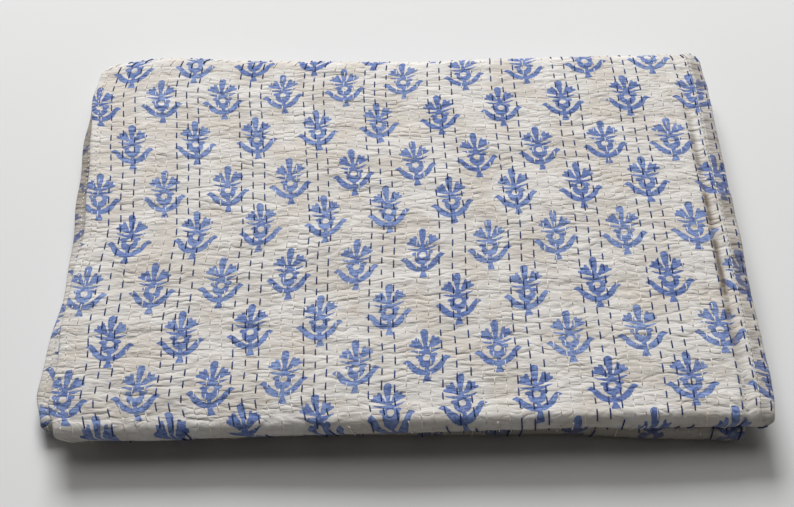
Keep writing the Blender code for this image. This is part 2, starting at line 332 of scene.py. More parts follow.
@dataclass(frozen=True)
class FoldedPack:
    """How the flat sheet is folded: sheet coordinates in, points of the pack out."""

    width: float = 1.27
    length: float = 1.78
    thickness: float = 0.0032
    ply_half: float = 0.0027
    ply_half_at_bend: float = 0.0031
    bend_puff_length: float = 0.030
    lift_4_to_3: float = 0.0116
    lift_3_to_2: float = 0.0120
    lift_2_to_1: float = 0.0125
    roll_radius: float = 0.0170
    tail_height: float = 0.0170
    back_fold_inset: float = 0.0056
    bottom_end_outset: float = 0.0020
    lower_turn: float = math.radians(2.0)
    lower_shift: tuple[float, float] = (-0.0060, 0.0105)
    turn_share_at_back_fold: float = 0.30
    trough_from_edge: float = 0.0215
    trough_depth: float = 0.0020
    trough_width: float = 0.0040
    ridge_from_edge: float = 0.0150
    ridge_height: float = 0.0016
    ridge_width: float = 0.0055
    relief_from_height: float = 0.0300
    reach_from_depth: float = 0.30
    hem_waves: tuple[tuple[float, float, float], ...] = ((0.0012, 0.031, 1.0), (0.0008, 0.0127, 2.3))
    hem_wave_starts: tuple[float, float] = (0.4, 2.9)
    second_hem_in: float = 0.0020
    origin: tuple[float, float, float] = (0.0, 0.0, 0.0)

    @property
    def half(self) -> float:
        """Half the sheet's thickness."""
        return self.thickness / 2

    @property
    def ply_run(self) -> float:
        """How far across the sheet the straight part of one ply reaches, from its hem to the bend."""
        return (self.width - math.pi * self.ply_half_at_bend) / 2

    @property
    def heights(self) -> tuple[float, float, float, float]:
        """Heights of the middles of passes 1 to 4."""
        fourth = self.ply_half + self.half
        third = fourth + self.lift_4_to_3
        second = third + self.lift_3_to_2
        return second + self.lift_2_to_1, second, third, fourth

    @property
    def pass_run(self) -> float:
        """Length of the top pass between its two rounded ends."""
        one, two, three, four = self.heights
        folds = math.pi * (one - four) / 2
        tail = one - self.roll_radius - self.tail_height
        roll = self.roll_radius * math.pi / 2
        spent = folds + tail + roll - 2 * self.back_fold_inset + self.bottom_end_outset
        return (self.length - spent) / 4

    def stretches(self) -> list[Stretch]:
        """The back-and-forth path, in order, each with its starting place, point and heading."""
        one, two, three, four = self.heights
        run = self.pass_run
        plan = (
            ("tail", one - self.roll_radius - self.tail_height, 0.0),
            ("roll", self.roll_radius * math.pi / 2, math.pi / 2),
            ("pass_1", run, 0.0),
            ("front_fold_12", math.pi * (one - two) / 2, math.pi),
            ("pass_2", run - self.back_fold_inset, 0.0),
            ("back_fold_23", math.pi * (two - three) / 2, -math.pi),
            ("pass_3", run - self.back_fold_inset, 0.0),
            ("front_fold_34", math.pi * (three - four) / 2, math.pi),
            ("pass_4", run + self.bottom_end_outset, 0.0),
        )
        made = []
        along, y, z, heading = 0.0, run / 2 + self.roll_radius, self.tail_height, math.pi / 2
        for name, length, turn in plan:
            made.append(Stretch(name, length, turn, along, y, z, heading))
            chord = length if turn == 0.0 else 2 * (length / turn) * math.sin(turn / 2)
            y += chord * math.cos(heading + turn / 2)
            z += chord * math.sin(heading + turn / 2)
            heading += turn
            along += length
        return made

    def start_of(self, name: str) -> float:
        """Where a stretch starts along the sheet."""
        return next(s.start for s in self.stretches() if s.name == name)

    def end_of(self, name: str) -> float:
        """Where a stretch ends along the sheet."""
        return next(s.start + s.length for s in self.stretches() if s.name == name)

    def path(self, s: np.ndarray) -> tuple[np.ndarray, np.ndarray, np.ndarray]:
        """Points and headings of the path.

        Args:
            s: Places along the sheet.

        Returns:
            Y, Z and the heading from +Y towards +Z, for each place.
        """
        stretches = self.stretches()
        k = np.clip(np.searchsorted([t.start for t in stretches], s, side="right") - 1, 0, len(stretches) - 1)
        start, y, z, heading, turn, length = (
            np.take([getattr(t, name) for t in stretches], k)
            for name in ("start", "y", "z", "heading", "turn", "length")
        )
        gone = s - start
        bend = turn * gone / length
        straight = np.abs(bend) < 1e-9
        safe = np.where(straight, 1.0, bend)
        chord = np.where(straight, gone, 2 * gone / safe * np.sin(safe / 2))
        return y + chord * np.cos(heading + bend / 2), z + chord * np.sin(heading + bend / 2), heading + bend

    def edges(self, s: np.ndarray) -> tuple[np.ndarray, np.ndarray, np.ndarray]:
        """The hairpin's two hems and its bend at places along the sheet.

        Args:
            s: Places along the sheet.

        Returns:
            X of the first ply's hem, X of the second ply's hem, and X where the bend starts.
        """
        starts = [self.start_of(r.place) for r in EDGES]
        places = [low + r.share * (self.end_of(r.place) - low) for r, low in zip(EDGES, starts)]
        left = -self.width / 4 + smooth_table(s, places, [r.left for r in EDGES])
        right = self.width / 4 - smooth_table(s, places, [r.right for r in EDGES])
        first, second = (
            sum(height * np.sin(s / length + turn * start) for height, length, turn in self.hem_waves)
            for start in self.hem_wave_starts
        )
        return left + first, left + second + self.second_hem_in, right - self.ply_half_at_bend - self.half

    def lower_share(self, s: np.ndarray) -> np.ndarray:
        """How far each place has come over to the lower half's turned position, from 0 to 1."""
        names = ("pass_2", "back_fold_23", "pass_3", "front_fold_34")
        at_fold = self.turn_share_at_back_fold
        return smooth_table(s, [self.start_of(n) for n in names], [0.0, at_fold, at_fold, 1.0])

    def relief(self, x: np.ndarray, y: np.ndarray) -> np.ndarray:
        """Height of the top pass's creases and of the band beside its folded edge."""
        half_width, half_depth = self.width / 4, self.pass_run / 2 + self.roll_radius
        from_edge = half_width - x
        trough = (from_edge - self.trough_from_edge) / self.trough_width
        ridge = (from_edge - self.ridge_from_edge) / self.ridge_width
        total = self.ridge_height * np.exp(-ridge * ridge) - self.trough_depth * np.exp(-trough * trough)
        for crease in CREASES:
            start = np.array(crease.start) * (half_width, half_depth)
            run = np.array(crease.end) * (half_width, half_depth) - start
            reach = np.hypot(*run)
            along = ((x - start[0]) * run[0] + (y - start[1]) * run[1]) / reach
            aside = ((x - start[0]) * run[1] - (y - start[1]) * run[0]) / reach
            beyond = np.maximum(np.maximum(-along, along - reach), 0.0)
            total = total + crease.height * np.exp(-(aside**2 + beyond**2) / crease.half_width**2)
        return total

    def edge_reach(self, x: np.ndarray, y: np.ndarray, share: np.ndarray) -> np.ndarray:
        """How far back a plan point is moved where the back edge and the lower front fold are uneven."""
        half_width, half_depth = self.width / 4, self.pass_run / 2 + self.roll_radius
        places = [row.x for row in REACHES]
        back = smooth_table(x / half_width, places, [row.back for row in REACHES])
        front = smooth_table(x / half_width, places, [row.lower_front for row in REACHES])
        weight = smooth(self.reach_from_depth, 1.0, np.abs(y) / half_depth)
        return np.where(y > 0.0, back * weight, front * weight * share)

    def height_share(self, x: np.ndarray, y: np.ndarray) -> np.ndarray:
        """The height of the pack at a plan point, as a share of its plain height."""
        half_width, half_depth = self.width / 4, self.pass_run / 2 + self.roll_radius
        total = np.ones_like(x)
        for swell in SWELLS:
            across = (x / half_width - swell.x) / swell.reach_x
            along = (y / half_depth - swell.y) / swell.reach_y
            total += swell.share * np.exp(-across * across - along * along)
        return total

    def place(self, c: np.ndarray, s: np.ndarray, n: np.ndarray) -> np.ndarray:
        """Points of the folded pack.

        Args:
            c: Places across the sheet, from its first long hem; a little past either hem is allowed.
            s: Places along the sheet, from the free end behind the top pass.
            n: Distances out of the sheet's middle, towards its face.

        Returns:
            An array of points, with X, Y and Z last.
        """
        y0, z0, heading = self.path(s)
        hem_a, hem_b, bend_at = self.edges(s)
        run = self.ply_run
        on_a, on_b = c < run, c > self.width - run
        share = np.where(on_a, c, self.width - c) / run
        x_ply = np.where(on_a, hem_a, hem_b) + (bend_at - np.where(on_a, hem_a, hem_b)) * share
        puff = smooth(0.0, 1.0, (x_ply - bend_at + self.bend_puff_length) / self.bend_puff_length)
        half_gap = self.ply_half + (self.ply_half_at_bend - self.ply_half) * puff
        angle = math.pi / 2 - (c - run) / self.ply_half_at_bend
        radius = self.ply_half_at_bend + n
        x = np.where(on_a | on_b, x_ply, bend_at + radius * np.cos(angle))
        offset = np.where(on_a, half_gap + n, np.where(on_b, -half_gap - n, radius * np.sin(angle)))
        y = y0 + offset * np.sin(heading)
        z = z0 - offset * np.cos(heading)
        share_l = self.lower_share(s)
        turn = -self.lower_turn * share_l
        plan_x = x * np.cos(turn) - y * np.sin(turn) + self.lower_shift[0] * share_l
        plan_y = x * np.sin(turn) + y * np.cos(turn) + self.lower_shift[1] * share_l
        plan_y = plan_y + self.edge_reach(x, y, share_l)
        top = self.heights[0] + self.ply_half + self.half
        rise = smooth(self.relief_from_height, top, z)
        height = np.maximum((z + self.relief(x, y) * rise) * self.height_share(x, y), 0.0)
        return np.stack([plan_x, plan_y, height], axis=-1) - np.array(self.origin)

    def set_on(self, low: Vector, high: Vector) -> "FoldedPack":
        """The same pack, moved so that its box has the middle and the bottom of the frame's box.

        Args:
            low: The frame box's lowest corner.
            high: The frame box's highest corner.

        Returns:
            The moved pack.
        """
        s = np.linspace(0.0, self.length, 1200)
        upper, lower = np.linspace(-0.0001, self.ply_run, 12), np.linspace(self.ply_run, self.width, 40)
        c = np.concatenate([upper, lower])
        points = self.place(*np.meshgrid(c, s), np.array(self.half))
        middle = (points.min(axis=(0, 1)) + points.max(axis=(0, 1))) / 2
        wanted = (low + high) / 2
        shift = (middle[0] - wanted.x, middle[1] - wanted.y, 0.0 - low.z)
        return FoldedPack(origin=shift)


@dataclass(frozen=True)
class Quilting:
    """The rows of running stitches, in sheet coordinates, and the puckers that they draw up."""

    width: float
    far_start: float = 0.6700
    far_pitch: float = 0.0648
    far_step: float = 0.0117
    rows_in_group: int = 3
    lean: float = 0.020
    lean_until: float = 0.150
    upright_from: float = 0.300
    lean_about: float = 0.240
    lean_reach: float = 0.3
    first_cream: float = 0.0112
    stitch_pitch: float = 0.0137
    stitch_length: float = 0.0078
    valley_depth: float = 0.00040
    fold_height: float = 0.00050
    broad_height: float = 0.00090
    pinch_depth: float = 0.00210
    pinch_width: float = 0.20
    band_from: float = 55.9
    band_to: float = 58.0
    band_rise: float = 0.3
    band_fall: float = 0.4
    band_folds: float = 1.3
    strength_noise: SoftNoise = SoftNoise(13, 0.040, 0.030)
    fold_noise: SoftNoise = SoftNoise(14, 0.058, 0.0115)
    fine_fold_noise: SoftNoise = SoftNoise(15, 0.024, 0.0070)
    broad_noise: SoftNoise = SoftNoise(16, 0.075, 0.055)

    def groups(self) -> list[StitchGroup]:
        """The navy groups of the whole sheet, from the first long hem to the second."""
        count = int((self.width - self.far_start) / self.far_pitch) + 1
        far = [StitchGroup(self.far_start + k * self.far_pitch, self.far_step) for k in range(count)]
        return [*NAVY_GROUPS, *far]

    def navy(self, group: StitchGroup) -> list[float]:
        """Where a group's navy rows lie."""
        return [group.start + k * group.step for k in range(self.rows_in_group)]

    def cream(self, group: StitchGroup, following: StitchGroup) -> list[float]:
        """Where the cream rows lie between two navy groups."""
        last = self.navy(group)[-1]
        gap = (following.start - last) / (self.rows_in_group + 1)
        return [last + gap * (k + 1) for k in range(self.rows_in_group)]

    def rows(self) -> list[float]:
        """All rows across the sheet, rising, with the first hem before them."""
        groups = self.groups()
        made = [0.0, self.first_cream]
        for group, following in zip(groups, groups[1:]):
            made += self.navy(group) + self.cream(group, following)
        return made + [place for place in self.navy(groups[-1]) if place < self.width] + [self.width]

    def lean_at(self, c: np.ndarray) -> np.ndarray:
        """How far the rows lean over at a place across the sheet, as across for each along."""
        return self.lean * (1 - smooth(self.lean_until, self.upright_from, c))

    def phase(self, c: np.ndarray, s: np.ndarray) -> np.ndarray:
        """Which row a place lies on: a whole number on each row, and parts of one between rows."""
        rows = self.rows()
        straight = c - self.lean_at(c) * np.minimum(s - self.lean_about, self.lean_reach)
        return np.interp(straight, rows, np.arange(len(rows)))

    def pucker(self, c: np.ndarray, s: np.ndarray) -> np.ndarray:
        """How far the face stands out of, or sinks into, its plain place.

        Args:
            c: Places across the sheet.
            s: Places along the sheet.

        Returns:
            Heights in metres.
        """
        phase = self.phase(c, s)
        valley = 0.5 + 0.5 * np.cos(2 * np.pi * phase)
        strength = 0.75 + 0.5 * self.strength_noise(c, s)
        folds = self.fold_noise(c, s) + 0.5 * self.fine_fold_noise(c, s)
        broad = self.broad_noise(c, s)
        pinch = np.exp(-(((phase - GROOVE_ROW) / self.pinch_width) ** 2)) * (0.8 + 0.3 * folds)
        sunk = self.valley_depth * valley * strength + self.pinch_depth * pinch
        risen = smooth(self.band_from, self.band_from + self.band_rise, phase)
        in_band = risen - smooth(self.band_to - self.band_fall, self.band_to, phase)
        return self.fold_height * folds * (1 + self.band_folds * in_band) + self.broad_height * broad - sunk


@dataclass(frozen=True)
class Block:
    """A step of the cloth mesh in one direction, and how many fine steps it holds."""

    start: float
    end: float
    cuts: int


@dataclass
class QuiltCloth:
    """The quilted sheet in its folds: one closed mesh, fine where it shows and coarse between its layers."""

    pack: FoldedPack
    quilting: Quilting
    layout: "PrintLayout"
    hem_roundness: float = 0.0013
    hem_block: float = 0.0195
    ply_blocks: int = 28
    inner_step: float = 0.0080
    top_blocks: int = 16
    hidden_blocks: int = 10
    fold_blocks: int = 5
    hem_cuts: int = 7
    ply_cuts: int = 8
    band_cuts: int = 13
    inner_cuts: int = 4
    bend_cuts: int = 3
    fold_cuts: int = 4
    past_bend: float = 0.010
    past_fold: float = 0.030
    flat_from: float = 0.004
    flat_to: float = 0.016
    hem_height: float = 0.00045
    hem_risen: float = 0.0025
    hem_falls: float = 0.0075
    hem_ends: float = 0.0095
    puckers_at_edge: float = 0.25
    name: str = "quilt_cloth"

    def across_blocks(self) -> list[Block]:
        """Blocks from the first hem over the bend to the second hem."""
        run, width = self.pack.ply_run, self.pack.width
        lines = [0.0, *np.linspace(self.hem_block, run - self.inner_step, self.ply_blocks + 1), run]
        plain = [self.ply_cuts] * (self.ply_blocks - 2)
        cuts = [self.hem_cuts, *plain, self.band_cuts, self.band_cuts, self.inner_cuts]
        ply = [Block(a, b, k) for a, b, k in zip(lines, lines[1:], cuts)]
        turns = np.linspace(run, width - run, self.fold_blocks + 1)
        bend = [Block(a, b, self.bend_cuts) for a, b in zip(turns, turns[1:])]
        return ply + bend + [Block(width - b.end, width - b.start, b.cuts) for b in reversed(ply)]

    def along_blocks(self) -> list[Block]:
        """Blocks from the free end behind the top pass to the free end under the pack."""
        folds = ("roll", "front_fold_12", "back_fold_23", "front_fold_34")
        counts = {name: (self.fold_blocks, self.fold_cuts) for name in folds}
        counts |= {"tail": (1, self.fold_cuts), "pass_1": (self.top_blocks, self.band_cuts)}
        made = []
        for stretch in self.pack.stretches():
            blocks, cuts = counts.get(stretch.name, (self.hidden_blocks, self.ply_cuts))
            lines = np.linspace(stretch.start, stretch.start + stretch.length, blocks + 1)
            made += [Block(a, b, cuts) for a, b in zip(lines, lines[1:])]
        return made

    def is_fine(self, across: Block, along: Block) -> bool:
        """Whether a block of the face shows, and so gets its fine steps."""
        pack = self.pack
        middle_c, middle_s = (across.start + across.end) / 2, (along.start + along.end) / 2
        first_ply = middle_c < pack.width - pack.ply_run + self.past_bend
        bend = pack.ply_run < middle_c < pack.width - pack.ply_run
        upper = middle_s < pack.start_of("pass_2") + self.past_fold
        lower_from = pack.end_of("pass_3") - self.past_fold
        lower_fold = lower_from < middle_s < pack.start_of("pass_4") + self.past_fold
        strip = middle_c < self.hem_block and pack.start_of("pass_3") < middle_s < pack.end_of("pass_3")
        back_fold = pack.start_of("back_fold_23") < middle_s < pack.end_of("back_fold_23") and not first_ply
        return bend or strip or back_fold or (first_ply and (upper or lower_fold))

    def face_offset(self, c: np.ndarray, s: np.ndarray) -> np.ndarray:
        """How far the face lies out of the sheet's middle, with its puckers and its hems."""
        pack = self.pack
        edge = np.minimum(np.minimum(c, pack.width - c), np.minimum(s, pack.length - s))
        inside = smooth(self.flat_from, self.flat_to, edge)
        hem = self.hem_height * smooth(0.0, self.hem_risen, edge)
        hem = hem * (1 - smooth(self.hem_falls, self.hem_ends, edge))
        under = smooth(pack.end_of("front_fold_34") - 0.010, pack.end_of("front_fold_34") + 0.004, s)
        showing = np.where(c < pack.width / 2, 1 - under, 1.0)
        calm = self.puckers_at_edge + (1 - self.puckers_at_edge) * inside
        return pack.half + self.quilting.pucker(c, s) * showing * calm + hem * showing

    def build(self) -> bpy.types.Object:
        """Makes the mesh, with the sheet's own coordinates as its UV map.

        Returns:
            The cloth object.
        """
        across, along = self.across_blocks(), self.along_blocks()
        c_parts = [np.linspace(b.start, b.end, b.cuts + 1)[:-1] for b in across]
        s_parts = [np.linspace(b.start, b.end, b.cuts + 1)[:-1] for b in along]
        c_lines = np.concatenate([*c_parts, [self.pack.width]])
        s_lines = np.concatenate([*s_parts, [self.pack.length]])
        c_at = np.concatenate([[0], np.cumsum([b.cuts for b in across])])
        s_at = np.concatenate([[0], np.cumsum([b.cuts for b in along])])
        fine = [[self.is_fine(a, b) for b in along] for a in across]
        here = {layer: np.zeros((len(c_lines), len(s_lines)), bool) for layer in Surface}
        here[Surface.FACE][np.ix_(c_at, s_at)] = True
        here[Surface.BACK][np.ix_(c_at, s_at)] = True
        for i in range(len(across)):
            for j in range(len(along)):
                if fine[i][j]:
                    here[Surface.FACE][c_at[i] : c_at[i + 1] + 1, s_at[j] : s_at[j + 1] + 1] = True
        border = np.zeros_like(here[Surface.FACE])
        border[[0, -1], :] = True
        border[:, [0, -1]] = True
        here[Surface.EDGE] = here[Surface.FACE] & border
        index, count = {}, 0
        for layer, mask in here.items():
            numbers = np.full(mask.shape, -1)
            numbers[mask] = np.arange(count, count + mask.sum())
            index[layer] = numbers
            count += int(mask.sum())
        points, uvs = self._vertices(here, c_lines, s_lines)
        faces = self._faces(index, c_at, s_at, fine)
        return self._object(points, uvs, faces, index)

    def _vertices(
        self, here: dict[Surface, np.ndarray], c_lines: np.ndarray, s_lines: np.ndarray
    ) -> tuple[np.ndarray, np.ndarray]:
        """Points and sheet coordinates of every vertex.

        Args:
            here: For each skin, which crossings of the fine lines hold a vertex.
            c_lines: The fine lines across.
            s_lines: The fine lines along.

        Returns:
            The points, and their sheet coordinates, skin by skin.
        """
        points, uvs = [], []
        for layer, mask in here.items():
            i, j = np.nonzero(mask)
            c, s = c_lines[i], s_lines[j]
            if layer is Surface.FACE:
                n = self.face_offset(c, s)
            elif layer is Surface.BACK:
                n = np.full(len(c), -self.pack.half)
            else:
                c = c + self.hem_roundness * ((i == len(c_lines) - 1) * 1.0 - (i == 0) * 1.0)
                s = s + self.hem_roundness * ((j == len(s_lines) - 1) * 1.0 - (j == 0) * 1.0)
                n = np.zeros(len(c))
            points.append(self.pack.place(c, s, n))
            uvs.append(np.stack([c + BACK_FACE_SHIFT * (layer is Surface.BACK), s], axis=-1))
        return np.concatenate(points), np.concatenate(uvs)

    def _faces(
        self, index: dict[Surface, np.ndarray], c_at: np.ndarray, s_at: np.ndarray, fine: list[list[bool]]
    ) -> list[list[int]]:
        """Polygons of the two skins and of the round hems between them.

        Args:
            index: For each skin, the vertex number at each crossing, or -1.
            c_at: The fine line at which each block across starts, and the last line.
            s_at: The same along.
            fine: Which blocks of the face have their fine steps.

        Returns:
            Lists of vertex numbers, with their outer sides out.
        """
        face, back, edge = index[Surface.FACE], index[Surface.BACK], index[Surface.EDGE]
        faces: list[list[int]] = []

        def walk(grid: np.ndarray, i: int, j: int) -> list[int]:
            """All vertices round a block, in order."""
            c0, c1, s0, s1 = c_at[i], c_at[i + 1], s_at[j], s_at[j + 1]
            ring = np.concatenate(
                [grid[c0:c1, s0], grid[c1, s0:s1], grid[c1:c0:-1, s1], grid[c0, s1:s0:-1]]
            )
            return ring[ring >= 0].tolist()

        for i in range(len(c_at) - 1):
            for j in range(len(s_at) - 1):
                faces.append(walk(back, i, j)[::-1])
                if not fine[i][j]:
                    faces.append(walk(face, i, j))
                    continue
                patch = face[c_at[i] : c_at[i + 1] + 1, s_at[j] : s_at[j + 1] + 1]
                quads = np.stack([patch[:-1, :-1], patch[1:, :-1], patch[1:, 1:], patch[:-1, 1:]], axis=-1)
                faces += quads.reshape(-1, 4).tolist()
        borders = (
            (slice(None), 0, c_at, False),
            (-1, slice(None), s_at, False),
            (slice(None), -1, c_at, True),
            (0, slice(None), s_at, True),
        )
        for across, along, marks, backwards in borders:
            rows = [grid[across, along] for grid in (face, edge, back)]
            for start, end in zip(marks, marks[1:]):
                near, middle, far = (row[start : end + 1][row[start : end + 1] >= 0].tolist() for row in rows)
                if backwards:
                    near, middle, far = near[::-1], middle[::-1], far[::-1]
                faces += [[middle[k], middle[k + 1], near[k + 1], near[k]] for k in range(len(near) - 1)]
                faces.append([*far, *middle[::-1]])
        return [face[::-1] for face in faces]

    def _object(
        self, points: np.ndarray, uvs: np.ndarray, faces: list[list[int]], index: dict[Surface, np.ndarray]
    ) -> bpy.types.Object:
        """The mesh object, with its UV map in metres of cloth.

        Args:
            points: Vertex places.
            uvs: Sheet coordinates of the vertices.
            faces: Polygons.
            index: For each skin, the vertex numbers.

        Returns:
            The linked object, shaded smooth.
        """
        mesh = bpy.data.meshes.new(self.name)
        mesh.from_pydata(points.tolist(), [], faces)
        corner = np.concatenate([np.array(f) for f in faces])
        face_of = np.repeat(np.arange(len(faces)), [len(f) for f in faces])
        first_back = index[Surface.BACK][index[Surface.BACK] >= 0].min()
        with_back = np.zeros(len(faces), bool)
        with_back[face_of[corner >= first_back]] = True
        uv = uvs[corner]
        uv[with_back[face_of] & (corner < first_back), 0] += BACK_FACE_SHIFT
        layer = mesh.uv_layers.new(name=UV_NAME)
        layer.data.foreach_set("uv", uv.astype(np.float32).ravel())
        self._add_pattern(mesh, uvs)
        mesh.validate()
        mesh.shade_smooth()
        cloth = bpy.data.objects.new(self.name, mesh)
        bpy.context.scene.collection.objects.link(cloth)
        return cloth

    def _add_pattern(self, mesh: bpy.types.Mesh, uvs: np.ndarray) -> None:
        """Gives each vertex its place in the print and among the rows of stitches.

        Args:
            mesh: The cloth's mesh.
            uvs: Sheet coordinates of the vertices, with the back's shift.
        """
        c = np.where(uvs[:, 0] > BACK_FACE_SHIFT - 0.1, uvs[:, 0] - BACK_FACE_SHIFT, uvs[:, 0])
        for odd, name in enumerate((PRINT_NAME, BETWEEN_NAME)):
            places = np.stack([*self.layout.place(c, uvs[:, 1], odd), np.zeros_like(c)], axis=-1)
            printed = mesh.attributes.new(name, "FLOAT_VECTOR", "POINT")
            printed.data.foreach_set("vector", places.astype(np.float32).ravel())
        rows = mesh.attributes.new(ROW_NAME, "FLOAT", "POINT")
        rows.data.foreach_set("value", self.quilting.phase(c, uvs[:, 1]).astype(np.float32))


@dataclass(frozen=True)
class Signal:
    """A socket of a node graph, on which plain arithmetic adds the graph's own maths."""

    graph: "NodeGraph"
    socket: bpy.types.NodeSocket

    def _maths(self, operation: str, *values: Any) -> "Signal":
        """One maths node with this signal first."""
        inputs = dict(enumerate((self, *values)))
        return self.graph.signal("ShaderNodeMath", {"operation": operation}, inputs)

    def _from(self, operation: str, value: Any) -> "Signal":
        """One maths node with a plain number first and this signal second."""
        return self.graph.signal("ShaderNodeMath", {"operation": operation}, {0: value, 1: self})

    def __add__(self, other: Any) -> "Signal":
        """Sum."""
        return self._maths("ADD", other)

    def __radd__(self, other: Any) -> "Signal":
        """Sum with a number first."""
        return self._from("ADD", other)

    def __sub__(self, other: Any) -> "Signal":
        """Difference."""
        return self._maths("SUBTRACT", other)

    def __rsub__(self, other: Any) -> "Signal":
        """Difference from a number."""
        return self._from("SUBTRACT", other)

    def __mul__(self, other: Any) -> "Signal":
        """Product."""
        return self._maths("MULTIPLY", other)

    def __rmul__(self, other: Any) -> "Signal":
        """Product with a number first."""
        return self._from("MULTIPLY", other)

    def __truediv__(self, other: Any) -> "Signal":
        """Quotient."""
        return self._maths("DIVIDE", other)

    def __rtruediv__(self, other: Any) -> "Signal":
        """A number over this."""
        return self._from("DIVIDE", other)

    def __pow__(self, other: Any) -> "Signal":
        """Power."""
        return self._maths("POWER", other)

    def __mod__(self, other: Any) -> "Signal":
        """Remainder, never below nought."""
        return self._maths("FLOORED_MODULO", other)

    def __abs__(self) -> "Signal":
        """Size without sign."""
        return self._maths("ABSOLUTE")

    def __neg__(self) -> "Signal":
        """The opposite."""
        return self._maths("MULTIPLY", -1.0)

    def floor(self) -> "Signal":
        """The whole number below."""
        return self._maths("FLOOR")

    def root(self) -> "Signal":
        """Square root."""
        return self._maths("SQRT")

    def sine(self) -> "Signal":
        """Sine, in radians."""
        return self._maths("SINE")

    def zigzag(self, height: float) -> "Signal":
        """Up and down between nought and a height."""
        return self._maths("PINGPONG", height)

    def at_most(self, other: Any) -> "Signal":
        """The lesser."""
        return self._maths("MINIMUM", other)

    def at_least(self, other: Any) -> "Signal":
        """The greater."""
        return self._maths("MAXIMUM", other)

    def joined(self, other: Any, softness: float) -> "Signal":
        """The lesser of two, with a rounded join."""
        return self._maths("SMOOTH_MIN", other, softness)

    def above(self, other: Any) -> "Signal":
        """One where this is the greater, else nought."""
        return self._maths("GREATER_THAN", other)

    def ramp(self, low: float, high: float, start: float = 0.0, end: float = 1.0) -> "Signal":
        """A soft step between two values.

        Args:
            low: Where the step starts.
            high: Where it ends.
            start: The value before it.
            end: The value after it.

        Returns:
            The stepped signal.
        """
        settings = {"interpolation_type": "SMOOTHSTEP", "clamp": True}
        inputs = {"Value": self, "From Min": low, "From Max": high, "To Min": start, "To Max": end}
        return self.graph.signal("ShaderNodeMapRange", settings, inputs, "Result")


def length_of(x: Signal, y: Signal) -> Signal:
    """The distance from the origin of a point in a plane."""
    return (x * x + y * y).root()


@dataclass
class NodeGraph:
    """A node tree of any kind, filled in one node at a time."""

    tree: bpy.types.NodeTree

    def node(
        self, kind: str, settings: dict[str, Any] | None = None, inputs: dict[str | int, Any] | None = None
    ) -> bpy.types.Node:
        """Adds a node.

        Args:
            kind: The node's type name.
            settings: Its own options, which are set first.
            inputs: Values, signals or colours for its sockets, by name or by number.

        Returns:
            The node.
        """
        made = self.tree.nodes.new(kind)
        for key, value in (settings or {}).items():
            setattr(made, key, value)
        for key, value in (inputs or {}).items():
            socket = made.inputs[key]
            if isinstance(value, Signal):
                self.tree.links.new(value.socket, socket)
            else:
                socket.default_value = value
        return made

    def signal(
        self,
        kind: str,
        settings: dict[str, Any] | None = None,
        inputs: dict[str | int, Any] | None = None,
        output: str | int = 0,
    ) -> Signal:
        """Adds a node and returns one of its outputs."""
        return Signal(self, self.node(kind, settings, inputs).outputs[output])

    def mixed(self, factor: Signal | float, first: Any, second: Any) -> Signal:
        """A colour between two, or between a colour and another signal of colours.

        Args:
            factor: 0 for the first, 1 for the second.
            first: A colour or a signal.
            second: A colour or a signal.

        Returns:
            The mixed colour.
        """
        return self.signal("ShaderNodeMix", {"data_type": "RGBA"}, {0: factor, 6: first, 7: second}, 2)

    def noise(self, place: Signal, scale: float, detail: float = 2.0, roughness: float = 0.5) -> Signal:
        """Cloudy noise from 0 to 1."""
        inputs = {"Vector": place, "Scale": scale, "Detail": detail, "Roughness": roughness}
        return self.signal("ShaderNodeTexNoise", {"noise_dimensions": "2D"}, inputs, 0)

    def vector(self, x: Any, y: Any, z: Any = 0.0) -> Signal:
        """A vector from its parts."""
        return self.signal("ShaderNodeCombineXYZ", None, {0: x, 1: y, 2: z})

    def parts(self, vector: Signal) -> tuple[Signal, Signal, Signal]:
        """The three parts of a vector."""
        split = self.node("ShaderNodeSeparateXYZ", None, {0: vector})
        return tuple(Signal(self, out) for out in split.outputs)


def linear(red: int, green: int, blue: int) -> tuple[float, float, float, float]:
    """A colour in the renderer's own values, from 8-bit display values set against the photo's tones."""
    parts = (value / 255 for value in (red, green, blue))
    made = [p / 12.92 if p <= 0.04045 else ((p + 0.055) / 1.055) ** 2.4 for p in parts]
    return (*made, 1.0)


